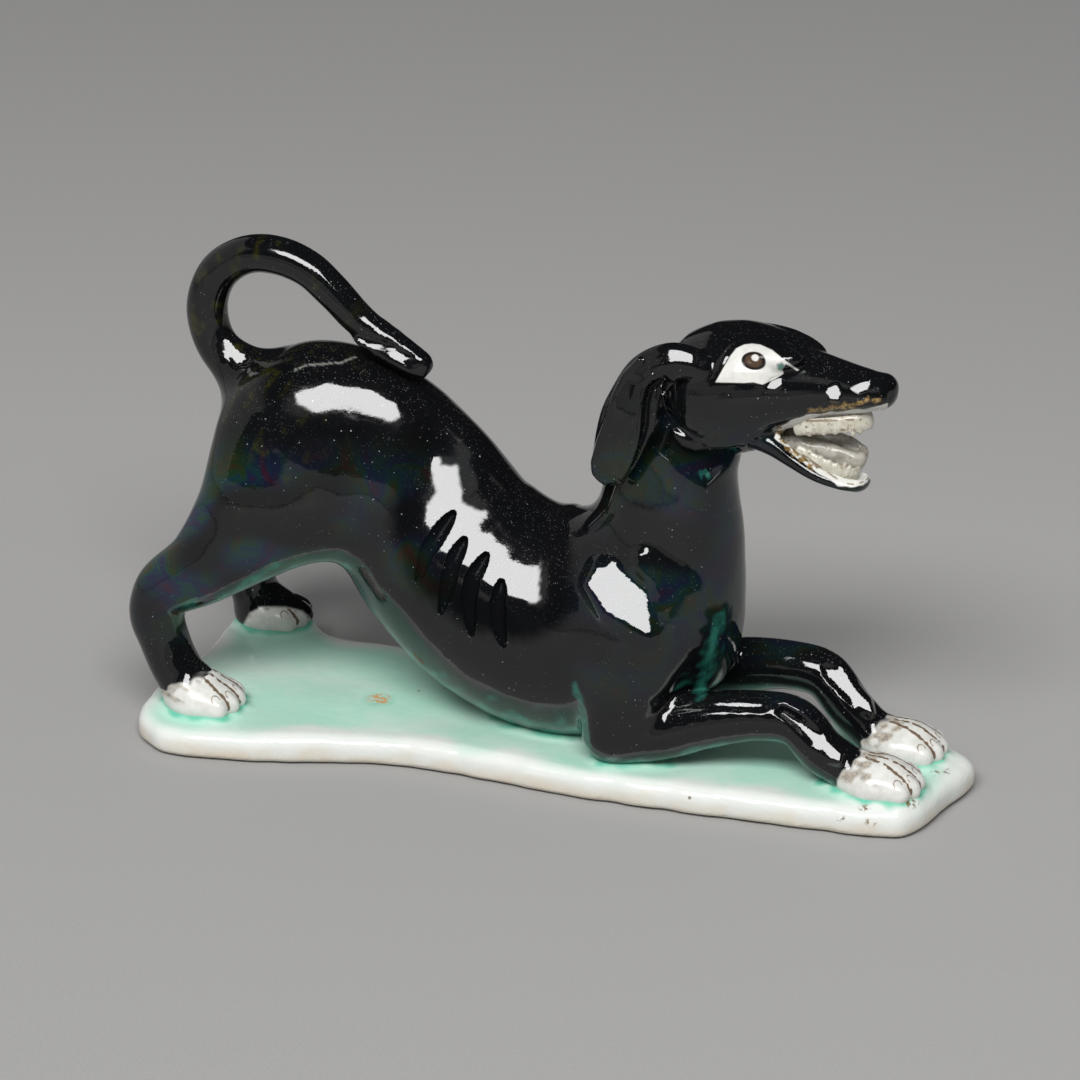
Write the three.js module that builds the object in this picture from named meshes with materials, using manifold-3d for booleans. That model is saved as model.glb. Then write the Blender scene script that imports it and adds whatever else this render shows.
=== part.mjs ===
// A glazed porcelain hound in a play bow on a hand-cut slab: chest down, rump up, tail looped to the back.
// The figure is built as a potter builds it. The body is two pressed half shells, and the neck, head, jaw,
// ears, legs, paws and tail are separate pieces of clay, each trimmed to its neighbour and luted with slip.
// Millimetres, +X towards the nose, +Z up, origin under the slab on the hound's median plane.
import * as THREE from 'three';
import { LoftGeometry } from 'three/addons/geometries/LoftGeometry.js';
import { mergeVertices } from 'three/addons/utils/BufferGeometryUtils.js';
import Module from 'manifold-3d';

const wasm = await Module();
wasm.setup();
const { lerp, degToRad: radians } = THREE.MathUtils;

// Driving dimensions of the slab; near is the hound's right side, far its left
const slabLength = 123.4;
const slabThickness = 4.5;
const slabRearNear = 25.6;
const slabRearFar = 21;
const slabWaistNear = 17.4;
const slabWaistFar = 14.8;
const slabFrontNear = 14;
const slabFrontFar = 10.6;
const slabTopRound = 1.9;
const slabFootChamfer = 0.7;

// Driving dimensions of the clay work
const slipGap = 0.3; // thickness of the slip between two luted pieces
const bodyWall = 3.4;
const ventRadius = 2.2;
const ventAhead = 5; // from the lowest point of the chest to the vent

// Body: depth is the half-size in the median plane, width the half-size across it
const bodyLength = 67; // from the rump's first section to the breast's last
const rumpDepth = 8.6;
const croupDepth = 13.8;
const loinDepth = 14.8;
const ribDepth = 15.8;
const chestDepth = 17.7;
const breastDepth = 12.2;
const rumpWidth = 7.4;
const croupWidth = 11;
const loinWidth = 12.2;
const ribWidth = 13.4;
const chestWidth = 14.6;
const breastWidth = 11.6;
const chestX = 1.1;
const chestSink = 2; // how far the round of the chest is pressed flat on the slab
const croupHeight = 40.4; // height of the body's line above the slab, over the hips
const ribGrooveWidth = 1.25;
const ribGrooveDepth = 0.9;

// Neck and head
const neckDepth = 11;
const neckWidth = 10;
const headX = 21; // where the head sits on the neck
const headHeight = 52;
const headTurn = -4; // degrees, towards the hound's right
const headRoll = -6; // degrees, right side up
const skullWidth = 9;
const muzzleWidth = 4.2;
const muzzleLength = 15.4; // from the stop to the nose
const eyeLength = 10.6;
const eyeHeight = 2.4;
const earLength = 19;
const earWidth = 3.4;
const earThickness = 1.6;
const leftEarDrop = 2.4; // the left ear was set lower than the right
const jawDrop = 20; // degrees that the lower jaw hangs below the level
const jawLength = 18.5;
const jawWidth = 4.4;
const lipThickness = 1;
const toothHeight = 1.5;

// Legs, paws and tail
const hindStance = 15.3; // half the distance between the hind paws
const foreStance = 6.1;
const hindPawInset = 10.6; // from the slab's end to the middle of a paw
const leftHindSetback = 2.4; // the left hind paw stands further back
const forePawInset = 10.2;
const pawLength = 6.2; // half-length, half-width and height of a paw
const pawWidth = 4.9;
const pawHeight = 5.2;
const thighDepth = 12;
const hockHeight = 17.2;
const shankRadius = 3.8;
const elbowRadius = 4.9;
const wristRadius = 3.6;
const wristHeight = 9;
const leftWristRaise = 1.3; // the left wrist is arched higher
const tailRadius = 3.1;
const tailTipRadius = 2;
const tailRise = 26.8; // the loop's line above the body's line at the croup

// Glazes
const blackGlaze = new THREE.MeshStandardMaterial({ color: 0x0b0c0e, roughness: 0.12, metalness: 0 });
const greenGlaze = new THREE.MeshStandardMaterial({ color: 0xbfe9d6, roughness: 0.2, metalness: 0 });
const whiteGlaze = new THREE.MeshStandardMaterial({ color: 0xf1efe6, roughness: 0.25, metalness: 0 });
const mouthGlaze = new THREE.MeshStandardMaterial({ color: 0xdedac8, roughness: 0.35, metalness: 0 });

// Solids and meshes

function solidOf(geometry) {
  const bare = new THREE.BufferGeometry();
  bare.setAttribute('position', geometry.attributes.position);
  bare.setIndex(geometry.index);
  const merged = mergeVertices(bare, 1e-4);
  const mesh = new wasm.Mesh({
    numProp: 3,
    vertProperties: merged.attributes.position.array,
    triVerts: new Uint32Array(merged.index.array),
  });
  return new wasm.Manifold(mesh);
}

function meshOf(name, solid, material) {
  const { vertProperties, triVerts } = solid.getMesh();
  const geometry = new THREE.BufferGeometry();
  geometry.setAttribute('position', new THREE.BufferAttribute(vertProperties, 3));
  geometry.setIndex(new THREE.BufferAttribute(triVerts, 1));
  geometry.computeVertexNormals();
  const mesh = new THREE.Mesh(geometry, material);
  mesh.name = name;
  return mesh;
}

const without = (solid, ...cutters) => cutters.reduce((rest, cutter) => rest.subtract(cutter), solid);
const joined = (first, ...others) => others.reduce((sum, other) => sum.add(other), first);

// A station is a point on a form's line with the half-sizes of the section there.
const station = (x, y, z, depth, width = depth) => ({ at: new THREE.Vector3(x, y, z), depth, width });

// The smooth line through stations, and the size and frame of the section at any share t of the way along it.
// Width runs along the side direction, depth across both the side and the line.
function spine(stations, side = new THREE.Vector3(0, 1, 0)) {
  const line = new THREE.CatmullRomCurve3(stations.map((s) => s.at), false, 'centripetal');
  const sizes = new THREE.CatmullRomCurve3(
    stations.map((s) => new THREE.Vector3(s.depth, s.width, 0)), false, 'catmullrom', 0.5);
  return (t) => {
    const along = line.getTangent(t);
    const across = side.clone().addScaledVector(along, -side.dot(along)).normalize();
    const { x: depth, y: width } = sizes.getPoint(t);
    return { centre: line.getPoint(t), along, across, up: along.clone().cross(across), depth, width };
  };
}

// A point on the skin of a section, at an angle from its side direction
function skinPoint({ centre, across, up, depth, width }, angle, grow = 0, share = 1) {
  return centre.clone()
    .addScaledVector(across, share * (width + grow) * Math.cos(angle))
    .addScaledVector(up, share * (depth + grow) * Math.sin(angle));
}

// A form lofted through elliptical sections along its spine, with domed ends. Grow swells it all round, so
// that it can trim its neighbours.
function form(stations, { sides, rings, side, startDome, endDome, domeRings = 3, grow = 0 }) {
  const tipShare = 0.08; // the last ring of a dome, as a share of the section
  const sectionAt = spine(stations, side);
  const ring = (t, share, shift) => {
    const section = sectionAt(t);
    section.centre.addScaledVector(section.along, shift);
    const step = (2 * Math.PI) / sides;
    return Array.from({ length: sides }, (_, i) => skinPoint(section, i * step, grow, share));
  };
  const dome = (t, length) => Array.from({ length: domeRings }, (_, k) => {
    const share = 1 - ((k + 1) / domeRings) ** 2 * (1 - tipShare);
    return ring(t, share, (length + Math.sign(length) * grow) * Math.sqrt(1 - share * share));
  });
  const body = Array.from({ length: rings }, (_, k) => ring(k / (rings - 1), 1, 0));
  const sections = [...dome(0, -startDome).reverse(), ...body, ...dome(1, endDome)];
  return solidOf(new LoftGeometry(sections, { capStart: true, capEnd: true }));
}

function ellipsoid(centre, radii, grow, around, down) {
  const geometry = new THREE.SphereGeometry(1, around, down);
  geometry.scale(...radii.map((radius) => radius + grow));
  geometry.translate(centre.x, centre.y, centre.z);
  return solidOf(geometry);
}

// Everything above the slab is placed from its top face; the other side mirrors in the median plane.
const mirrored = (stations) => stations.map((s) => ({ ...s, at: s.at.clone().setY(-s.at.y) }));

function slabGround(depth) {
  const ground = new THREE.BoxGeometry(2 * slabLength, 2 * slabLength, depth);
  ground.translate(0, 0, slipGap - depth / 2);
  return solidOf(ground);
}

// Slab: a hand-cut outline, wide under the hind paws, waisted, and narrow under the fore paws

function slabOutline() {
  const end = slabLength / 2;
  const points = [ // round from the near front corner, along the far edge to the rear and back
    [end - 4.6, 1.4 - slabFrontNear], [end - 1.9, -slabFrontNear / 3], [end, 0.7 * slabFrontFar],
    [end - 6, slabFrontFar + 1.2], [0.4 * end, slabWaistFar - 1], [0, slabWaistFar],
    [-0.5 * end, slabWaistFar], [-0.7 * end, slabWaistFar + 0.4], [-0.79 * end, slabRearFar - 1.8],
    [-0.89 * end, slabRearFar], [1.6 - end, slabRearFar - 6], [1.6 - end, 1.5],
    [-end, -slabRearNear / 2], [2 - end, 4 - slabRearNear], [8 - end, -slabRearNear],
    [-0.66 * end, 1.9 - slabRearNear], [-0.32 * end, -slabWaistNear], [0.1 * end, -slabWaistNear - 0.3],
    [0.68 * end, -slabFrontNear - 1.5], [0.86 * end, -slabFrontNear - 0.2],
  ].map(([x, y]) => new THREE.Vector3(x, y, 0));
  return new THREE.CatmullRomCurve3(points, true, 'centripetal');
}

function slab() {
  const outlinePoints = 64;
  const roundRings = 3;
  const outline = slabOutline();
  const up = new THREE.Vector3(0, 0, 1);
  const section = (inset, height) => Array.from({ length: outlinePoints }, (_, i) => {
    const t = i / outlinePoints;
    const inward = up.clone().cross(outline.getTangent(t));
    return outline.getPoint(t).addScaledVector(inward, inset).setZ(height);
  });
  const sections = [section(slabFootChamfer, 0), section(0, slabFootChamfer)];
  for (let k = 0; k <= roundRings; k += 1) {
    const angle = (k / roundRings) * (Math.PI / 2);
    const height = slabThickness - slabTopRound + slabTopRound * Math.sin(angle);
    sections.push(section(slabTopRound * (1 - Math.cos(angle)), height));
  }
  return solidOf(new LoftGeometry(sections, { capStart: true, capEnd: true }));
}

// Vent that lets the steam out of the hollow body in the kiln, through the belly and the slab

function vent() {
  const length = 4 * slabThickness;
  const geometry = new THREE.CylinderGeometry(ventRadius, ventRadius, length, 16);
  geometry.rotateX(Math.PI / 2);
  geometry.translate(chestX + ventAhead, 0, 0);
  return solidOf(geometry);
}

// Body: a shell in two pressed halves with a seam along the back

const chestHeight = chestDepth - chestSink;
const chestShare = 0.72; // how far along the body the chest lies, from the rump
const bodyAt = (share) => chestX + (share - chestShare) * bodyLength;
const bodyStations = (wall = 0) => {
  const at = (share, height, depth, width) => station(bodyAt(share), 0, height, depth - wall, width - wall);
  return [
    at(0, croupHeight - 0.4, rumpDepth, rumpWidth),
    at(0.12, croupHeight, croupDepth, croupWidth),
    at(0.24, croupHeight - 2.9, (croupDepth + loinDepth) / 2 + 0.6, loinWidth),
    at(0.345, croupHeight - 8, loinDepth, loinWidth),
    at(0.45, chestHeight + 7.9, ribDepth, ribWidth),
    at(0.58, chestHeight + 1.8, (ribDepth + chestDepth) / 2 + 0.2, chestWidth - 0.4),
    at(chestShare, chestHeight, chestDepth, chestWidth),
    at(0.88, chestHeight + 2.6, chestDepth - 1.7, chestWidth - 0.9),
    at(1, chestHeight + 5, breastDepth, breastWidth),
  ];
};

function bodySolid(grow = 0) {
  return form(bodyStations(), { sides: 24, rings: 17, startDome: 5, endDome: 6, grow });
}

function bodyHollow() {
  return form(bodyStations(bodyWall), { sides: 12, rings: 9, startDome: 1, endDome: 3, domeRings: 1 });
}

function halfSpace(towards) {
  const reach = 2 * slabLength;
  const geometry = new THREE.BoxGeometry(reach, reach, reach);
  geometry.translate(0, towards * (reach + slipGap) / 2, 0);
  return solidOf(geometry);
}

// Ribs: leaf-shaped grooves drawn down each flank behind the shoulder, following the skin
function ribGrooves(towards) {
  const grooves = [ // shares of the body's length and angles above the flank, at each end of a groove
    { from: [0.425, 42], to: [0.488, 0] },
    { from: [0.47, 36], to: [0.554, -3] },
    { from: [0.543, 40], to: [0.618, -1] },
    { from: [0.611, 31], to: [0.689, 3] },
  ];
  const sectionAt = spine(bodyStations());
  const steps = [0, 0.25, 0.5, 0.75, 1];
  return grooves.map(({ from, to }) => {
    const stations = steps.map((u) => {
      const leaf = 0.25 + 0.75 * Math.sin(Math.PI * u);
      const section = sectionAt(lerp(from[0], to[0], u));
      const angle = radians(lerp(from[1], to[1], u));
      const at = skinPoint(section, towards > 0 ? angle : Math.PI - angle);
      return { at, depth: leaf * ribGrooveWidth, width: leaf * ribGrooveDepth };
    });
    return form(stations, { sides: 6, rings: 7, startDome: 0.4, endDome: 0.4, domeRings: 1 });
  });
}

function bodyHalf(towards) {
  return without(bodySolid().intersect(halfSpace(towards)), bodyHollow(), vent(), slabGround(4 * chestDepth),
    ...ribGrooves(towards));
}

// Neck, standing on the chest under the head

function neckSolid(grow = 0) {
  const root = chestHeight + 2.4;
  const top = headHeight - 1.5;
  const at = (share, x, depth, width) => (
    station(headX + x, 0, lerp(root, top, share), neckDepth + depth, neckWidth + width));
  const stations = [
    at(0, -8.2, 0.4, 1), at(0.2, -6, 1.1, 0.8), at(0.4, -4.7, 0.5, 0), at(0.64, -4.4, -1.1, -0.8),
    at(0.82, -2.6, -2.6, -2), at(1, -0.2, -3.2, -2.4),
  ];
  return form(stations, { sides: 18, rings: 8, startDome: 2, endDome: 2, domeRings: 2, grow });
}

// Head: pieces are modelled from the point where the head sits on the neck, then turned and carried there

const headPlace = new THREE.Matrix4()
  .makeRotationFromEuler(new THREE.Euler(radians(headRoll), 0, radians(headTurn), 'ZYX'))
  .setPosition(headX, 0, headHeight);
const onHead = (x, y, z) => new THREE.Vector3(x, y, z).applyMatrix4(headPlace);
const headStation = (x, y, z, depth, width) => ({ at: onHead(x, y, z), depth, width });
const headSide = new THREE.Vector3(0, 1, 0).transformDirection(headPlace);

// A section of the head given by its top and bottom heights
const skullSection = (x, top, bottom, width) => (
  headStation(x, 0, (top + bottom) / 2, (top - bottom) / 2, width));

function headSolid(grow = 0) {
  const stop = 11.4; // where the forehead drops to the muzzle
  const muzzleAt = (share) => stop + share * muzzleLength;
  const stations = [
    skullSection(-3.6, 8.4, -3.6, skullWidth - 3.2),
    skullSection(-0.5, 11.3, -5.4, skullWidth - 1.1),
    skullSection(3.5, 13, -5.6, skullWidth - 0.1),
    skullSection(7.5, 13.9, -4, skullWidth),
    skullSection(11, 13.6, -2, skullWidth - 0.8),
    skullSection(muzzleAt(0.2), 12.1, 0, (skullWidth + muzzleWidth) / 2),
    skullSection(muzzleAt(0.43), 10.9, 1.9, muzzleWidth + 0.9),
    skullSection(muzzleAt(0.66), 10, 3, muzzleWidth + 0.2),
    skullSection(muzzleAt(0.88), 9.4, 3.9, muzzleWidth - 0.1),
    skullSection(muzzleAt(1), 9, 4.7, muzzleWidth - 0.9),
  ];
  const skull = form(stations, {
    sides: 20, rings: 15, side: headSide, startDome: 2.2, endDome: 1.7, domeRings: 2, grow });
  const nose = ellipsoid(onHead(muzzleAt(1.01), 0, 7.5), [2, 2.8, 2], grow, 10, 6);
  const brows = [-1, 1].map((s) => ellipsoid(onHead(11.8, 4.7 * s, 11.6), [3.6, 2.3, 1.6], grow, 10, 6));
  return joined(skull, nose, ...brows);
}

// Eyes: almond pellets pressed into the skull, slanting up towards the muzzle
function eyeSolid(towards, grow = 0) {
  const slant = eyeLength / 10.6;
  const stations = [
    headStation(10.4 - 5.1 * slant, towards * (skullWidth - 1), 7.3, 0.16 * eyeHeight, 0.5),
    headStation(10.4 - 2.2 * slant, towards * (skullWidth - 1.3), 9.1, 0.8 * eyeHeight, 1.2),
    headStation(10.4 + 0.4 * slant, towards * (skullWidth - 2.2), 9.9, eyeHeight, 1.5),
    headStation(10.4 + 3.1 * slant, towards * (skullWidth - 3.5), 9.9, 0.64 * eyeHeight, 1.1),
    headStation(10.4 + 5.5 * slant, towards * (skullWidth - 4.4), 9.6, 0.12 * eyeHeight, 0.4),
  ];
  return form(stations, {
    sides: 8, rings: 9, side: headSide, startDome: 0.3, endDome: 0.3, domeRings: 1, grow });
}

// Lower jaw: a trough with a lip all round, hanging open from the cheeks
const jawPlace = new THREE.Matrix4()
  .makeRotationY(radians(jawDrop))
  .setPosition(7, 0, -0.2)
  .premultiply(headPlace);
const jawStation = (share, z, depth, width) => (
  { at: new THREE.Vector3(share * jawLength, 0, z).applyMatrix4(jawPlace), depth, width });

function jawSolid(grow = 0) {
  const stations = [
    jawStation(0, 0, 3.4, jawWidth + 1.8),
    jawStation(0.3, -0.3, 2.9, jawWidth + 1),
    jawStation(0.51, -1, 2.4, jawWidth + 0.4),
    jawStation(0.72, -1.3, 2, jawWidth - 0.2),
    jawStation(0.92, -0.8, 1.6, jawWidth - 0.9),
    jawStation(1, -0.3, 1.4, jawWidth - 1.4),
  ];
  return form(stations, {
    sides: 14, rings: 9, side: headSide, startDome: 1.5, endDome: 1.5, domeRings: 2, grow });
}

function jawTrough(grow = 0) {
  const width = jawWidth - lipThickness;
  const stations = [
    jawStation(0.36, 1.9, 2.6, width + 0.6),
    jawStation(0.54, 0.9, 2.3, width + 0.2),
    jawStation(0.74, 0.4, 2, width - 0.2),
    jawStation(0.92, 0.8, 1.7, width - 0.8),
    jawStation(0.98, 1.1, 1.5, width - 1.2),
  ];
  return form(stations, {
    sides: 10, rings: 7, side: headSide, startDome: 0.8, endDome: 0.9, domeRings: 2, grow });
}

// Tongue: a thick wedge raised from the floor of the mouth
function tongueSolid(grow = 0) {
  const tongueAt = (share, z, depth, width) => headStation(12 + share * jawLength * 0.72, 0, z, depth, width);
  const stations = [
    tongueAt(0, -0.9, 1.9, 2.2), tongueAt(0.35, -1.6, 1.9, 2.2), tongueAt(0.7, -2.3, 1.6, 1.9),
    tongueAt(1, -2.4, 1.1, 1.3),
  ];
  return form(stations, {
    sides: 10, rings: 6, side: headSide, startDome: 0.6, endDome: 0.9, domeRings: 2, grow });
}

// Teeth: a strip bent round the arch of the jaw, its edge pinched into points, with a canine at each side
function toothStrip(place, length, halfWidth, rise) {
  const steps = 25;
  const thickness = 0.9;
  const root = -2.2 * Math.sign(rise); // how deep the strip starts, before it is trimmed to the gum
  const sections = Array.from({ length: steps }, (_, i) => {
    const u = (2 * i) / (steps - 1) - 1; // from the right cheek over the front to the left cheek
    const angle = (u * Math.PI) / 2;
    const centre = new THREE.Vector3(length * Math.cos(angle) ** 0.7, halfWidth * Math.sin(angle), 0);
    const outward = new THREE.Vector3(Math.cos(angle), Math.sin(angle), 0);
    const pinch = i % 2 ? 1 : 0.66;
    const canine = 1 + 0.7 * Math.exp(-(((Math.abs(u) - 0.42) / 0.07) ** 2));
    const tip = rise * pinch * canine;
    const profile = [[-0.5, root], [0.5, root], [0.2, tip], [-0.2, tip]];
    return profile.map(([out, z]) => (
      centre.clone().addScaledVector(outward, out * thickness).setZ(z).applyMatrix4(place)));
  });
  const wound = rise < 0 ? sections : sections.map((points) => points.reverse());
  return solidOf(new LoftGeometry(wound, { capStart: true, capEnd: true }));
}

const upperTeethPlace = new THREE.Matrix4()
  .makeRotationY(radians(-12))
  .setPosition(15.4, 0, 1.6)
  .premultiply(headPlace);
const lowerTeethPlace = new THREE.Matrix4().setPosition(0.5 * jawLength, 0, 0.1).premultiply(jawPlace);

const upperTeeth = () => (
  toothStrip(upperTeethPlace, 0.66 * muzzleLength, muzzleWidth - 1.1, -toothHeight));
const lowerTeeth = () => (
  toothStrip(lowerTeethPlace, 0.46 * jawLength, jawWidth - lipThickness - 0.8, 0.8 * toothHeight));

// Ears: flat strips hung from the skull, lying back against the neck
function earSolid(towards, grow = 0) {
  const top = 8.9 - (towards > 0 ? leftEarDrop : 0);
  const hangPlace = new THREE.Matrix4().makeRotationZ(radians(headTurn)).setPosition(headX, 0, headHeight);
  const neckSide = neckWidth - 1.6 + earThickness; // where the ear lies on the neck
  const onSkull = (x, out, hang, width) => headStation(
    x, towards * (skullWidth + out), top - hang * earLength, earWidth + width, earThickness);
  const onNeck = (x, out, hang, width) => {
    const at = new THREE.Vector3(x, towards * (neckSide + out), top + 0.9 - hang * earLength);
    return { at: at.applyMatrix4(hangPlace), depth: earWidth + width, width: earThickness - 0.2 };
  };
  const stations = [
    onSkull(2.4, -2.4, 0.04, -1), onSkull(-1.2, -0.5, 0, -0.8), onSkull(-4.4, 0.5, 0.12, -0.4),
    onNeck(-6.3, 0.3, 0.44, 0.1), onNeck(-8, -0.1, 0.72, -0.2), onNeck(-9.2, -0.4, 0.92, -1),
  ];
  return form(stations, {
    sides: 12, rings: 13, side: headSide, startDome: 1, endDome: 2, domeRings: 2, grow });
}

// Legs and paws, given for the hound's left side and mirrored for the right

const hindPawX = hindPawInset - slabLength / 2;
const hindPawAt = (towards) => (
  { x: hindPawX - (towards > 0 ? leftHindSetback : 0), y: towards * hindStance });
const forePawAt = (towards) => ({ x: slabLength / 2 - forePawInset, y: towards * foreStance });

function hindLegSolid(towards, grow = 0) {
  const pawX = hindPawAt(towards).x;
  const hipX = bodyAt(0.13);
  const kneeX = lerp(hipX, hindPawX - 7, 0.42);
  const stations = [
    station(hipX + 0.6, hindStance - 7.7, croupHeight - 2.4, thighDepth + 2, 7.4),
    station(hipX - 3, hindStance - 5, croupHeight - 7, thighDepth, 7),
    station(kneeX + 0.5, hindStance - 3.3, hockHeight + 10.4, thighDepth - 3.4, 6),
    station(hindPawX - 0.4, hindStance - 1.3, hockHeight + 5, (thighDepth + shankRadius) / 2 - 1.9, 5),
    station(hindPawX - 7, hindStance - 0.3, hockHeight, shankRadius + 0.7, shankRadius + 0.4),
    station(hindPawX - 7.9, hindStance, hockHeight - 3.6, shankRadius + 0.4, shankRadius + 0.2),
    station(lerp(hindPawX, pawX, 0.3) - 6.8, hindStance, 0.58 * hockHeight, shankRadius),
    station(pawX - 4.5, hindStance, 0.31 * hockHeight, shankRadius - 0.1, shankRadius),
    station(pawX - 1.4, hindStance, 2.2, shankRadius - 0.3, shankRadius - 0.3),
  ];
  return form(towards > 0 ? stations : mirrored(stations), {
    sides: 14, rings: 17, startDome: 3, endDome: 1, domeRings: 2, grow });
}

function foreLegSolid(towards, grow = 0) {
  const pawX = forePawAt(towards).x;
  const arch = wristHeight + (towards > 0 ? leftWristRaise : 0);
  const upperArm = [
    station(chestX + 14.6, foreStance + 1.7, chestHeight + 12, 7.2, 5.2),
    station(chestX + 13.5, foreStance + 4.1, chestHeight + 3, 7.9, 5.4),
    station(chestX + 11.9, foreStance + 4.7, elbowRadius + 5.6, elbowRadius + 1.6, elbowRadius + 0.2),
    station(chestX + 11, foreStance + 4.6, elbowRadius - 0.4, elbowRadius, elbowRadius - 0.1),
  ];
  const forearm = [
    station(chestX + 10.6, foreStance + 4.5, elbowRadius - 0.6, elbowRadius, elbowRadius - 0.2),
    station(pawX - 33, foreStance + 3.4, arch - 4, (elbowRadius + wristRadius) / 2 + 0.2, wristRadius + 0.7),
    station(pawX - 25.7, foreStance + 2.4, arch - 1.5, wristRadius + 0.55, wristRadius + 0.5),
    station(pawX - 18.5, foreStance + 1.5, arch, wristRadius + 0.1, wristRadius + 0.1),
    station(pawX - 13.2, foreStance + 0.9, arch - 0.4, wristRadius, wristRadius),
    station(pawX - 8.9, foreStance + 0.4, arch - 4.2, wristRadius - 0.2, wristRadius - 0.1),
    station(pawX - 4.6, foreStance, 2.2, wristRadius - 0.4, wristRadius - 0.3),
  ];
  const place = (stations) => (towards > 0 ? stations : mirrored(stations));
  return joined(
    form(place(upperArm), { sides: 14, rings: 7, startDome: 3, endDome: 4, grow }),
    form(place(forearm), { sides: 12, rings: 13, startDome: 4, endDome: 1, domeRings: 2, grow }),
  );
}

// A paw is a rounded pad of clay with toes pressed out along its front
function pawSolid({ x, y }, grow = 0) {
  const toes = 4;
  const spread = radians(100);
  const pad = ellipsoid(
    new THREE.Vector3(x - 0.9, y, 1.4), [pawLength - 0.9, pawWidth - 0.2, pawHeight - 1.4], grow, 14, 8);
  const toeSolids = Array.from({ length: toes }, (_, i) => {
    const angle = spread * (i / (toes - 1) - 0.5);
    const centre = new THREE.Vector3(
      x + 0.4 + (pawLength - 3) * Math.cos(angle), y + (pawWidth - 1.6) * Math.sin(angle), 1.3);
    return ellipsoid(centre, [2.7, 1.6, 2.3], grow, 8, 6);
  });
  return joined(pad, ...toeSolids);
}

// Tail: a tapered roll looped up from the rump and pressed onto the back
function tailSolid(grow = 0) {
  const taper = tailRadius - tailTipRadius;
  const at = (x, rise, thin) => station(
    bodyAt(0) + x, 0, croupHeight + rise * tailRise, tailRadius - thin * taper);
  const stations = [
    at(3, 0.12, -0.9), at(-3, 0.27, -0.3), at(-7.7, 0.43, 0), at(-9, 0.645, 0), at(-7, 0.85, 0.1),
    at(-2.4, 0.98, 0.2), at(2.6, 1, 0.25), at(7.3, 0.945, 0.3), at(11.4, 0.82, 0.4), at(15.6, 0.675, 0.6),
    at(20.4, 0.57, 0.8), at(25.2, 0.475, 1),
  ];
  return form(stations, { sides: 10, rings: 34, startDome: 1, endDome: 1.6, domeRings: 2, grow });
}

// Assembly: each piece is trimmed by the grown solids of the pieces that it is luted to

const ground = slabGround(4 * chestDepth);
const figure = new THREE.Group();
figure.position.z = slabThickness;
const add = (name, solid, material) => figure.add(meshOf(name, solid, material));

const bodyCutter = bodySolid(slipGap);
const neckCutter = neckSolid(slipGap);
const headCutter = headSolid(slipGap);
const jawCutter = jawSolid(slipGap);
const gumCutter = jawCutter.subtract(jawTrough(-slipGap));

add('right_body_shell', bodyHalf(-1), blackGlaze);
add('left_body_shell', bodyHalf(1), blackGlaze);
add('neck', without(neckSolid(), bodyCutter, headCutter, jawCutter), blackGlaze);
add('tail', without(tailSolid(), bodyCutter), blackGlaze);

add('head', without(headSolid(), eyeSolid(-1, slipGap), eyeSolid(1, slipGap)), blackGlaze);
add('lower_jaw', without(jawSolid(), headCutter, jawTrough()), blackGlaze);
add('upper_teeth', without(upperTeeth(), headCutter), mouthGlaze);
add('lower_teeth', without(lowerTeeth(), headCutter, gumCutter, tongueSolid(slipGap)), mouthGlaze);
add('tongue', without(tongueSolid(), headCutter, gumCutter), mouthGlaze);

for (const [sideName, towards] of [['right', -1], ['left', 1]]) {
  const hindPaw = (grow) => pawSolid(hindPawAt(towards), grow);
  const forePaw = (grow) => pawSolid(forePawAt(towards), grow);
  add(`${sideName}_eye`, eyeSolid(towards), whiteGlaze);
  add(`${sideName}_ear`, without(earSolid(towards), headCutter, neckCutter, bodyCutter), blackGlaze);
  add(`${sideName}_hind_leg`, without(
    hindLegSolid(towards), bodyCutter, hindPaw(slipGap), ground), blackGlaze);
  add(`${sideName}_hind_paw`, without(hindPaw(0), ground), whiteGlaze);
  add(`${sideName}_foreleg`, without(
    foreLegSolid(towards), bodyCutter, neckCutter, forePaw(slipGap), ground), blackGlaze);
  add(`${sideName}_fore_paw`, without(forePaw(0), ground), whiteGlaze);
}

const hound = new THREE.Group();
hound.add(meshOf('slab', without(slab(), vent()), greenGlaze), figure);

export default hound;
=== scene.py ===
"""A black-glazed porcelain hound in a play bow on a mint-green slab, on a plain grey table.

Each form is lofted along the same line as its CAD solid, in millimetres. The forms melt into one another as
the glaze does, are meshed as one skin, and the skin is cut again into the CAD nodes' pieces.
"""
import math
from functools import partial

import bpy
import numpy as np
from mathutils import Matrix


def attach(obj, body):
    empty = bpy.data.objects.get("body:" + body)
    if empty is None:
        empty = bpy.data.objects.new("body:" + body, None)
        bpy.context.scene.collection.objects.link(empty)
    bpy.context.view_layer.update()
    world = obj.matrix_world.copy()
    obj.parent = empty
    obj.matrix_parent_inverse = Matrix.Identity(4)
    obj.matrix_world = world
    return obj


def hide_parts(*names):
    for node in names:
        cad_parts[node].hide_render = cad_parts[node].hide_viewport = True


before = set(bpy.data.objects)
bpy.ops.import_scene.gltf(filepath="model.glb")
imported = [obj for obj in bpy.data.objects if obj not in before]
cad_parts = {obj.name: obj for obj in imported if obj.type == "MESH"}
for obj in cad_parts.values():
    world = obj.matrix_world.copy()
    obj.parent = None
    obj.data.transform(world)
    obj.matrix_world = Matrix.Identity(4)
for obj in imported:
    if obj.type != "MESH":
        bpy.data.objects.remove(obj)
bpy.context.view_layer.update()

import openvdb

MM = 0.001
SLAB_TOP = 4.5
SIDES = {"right": -1, "left": 1}
FLIPS = np.ones(3), np.array([1.0, -1, 1])

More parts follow.
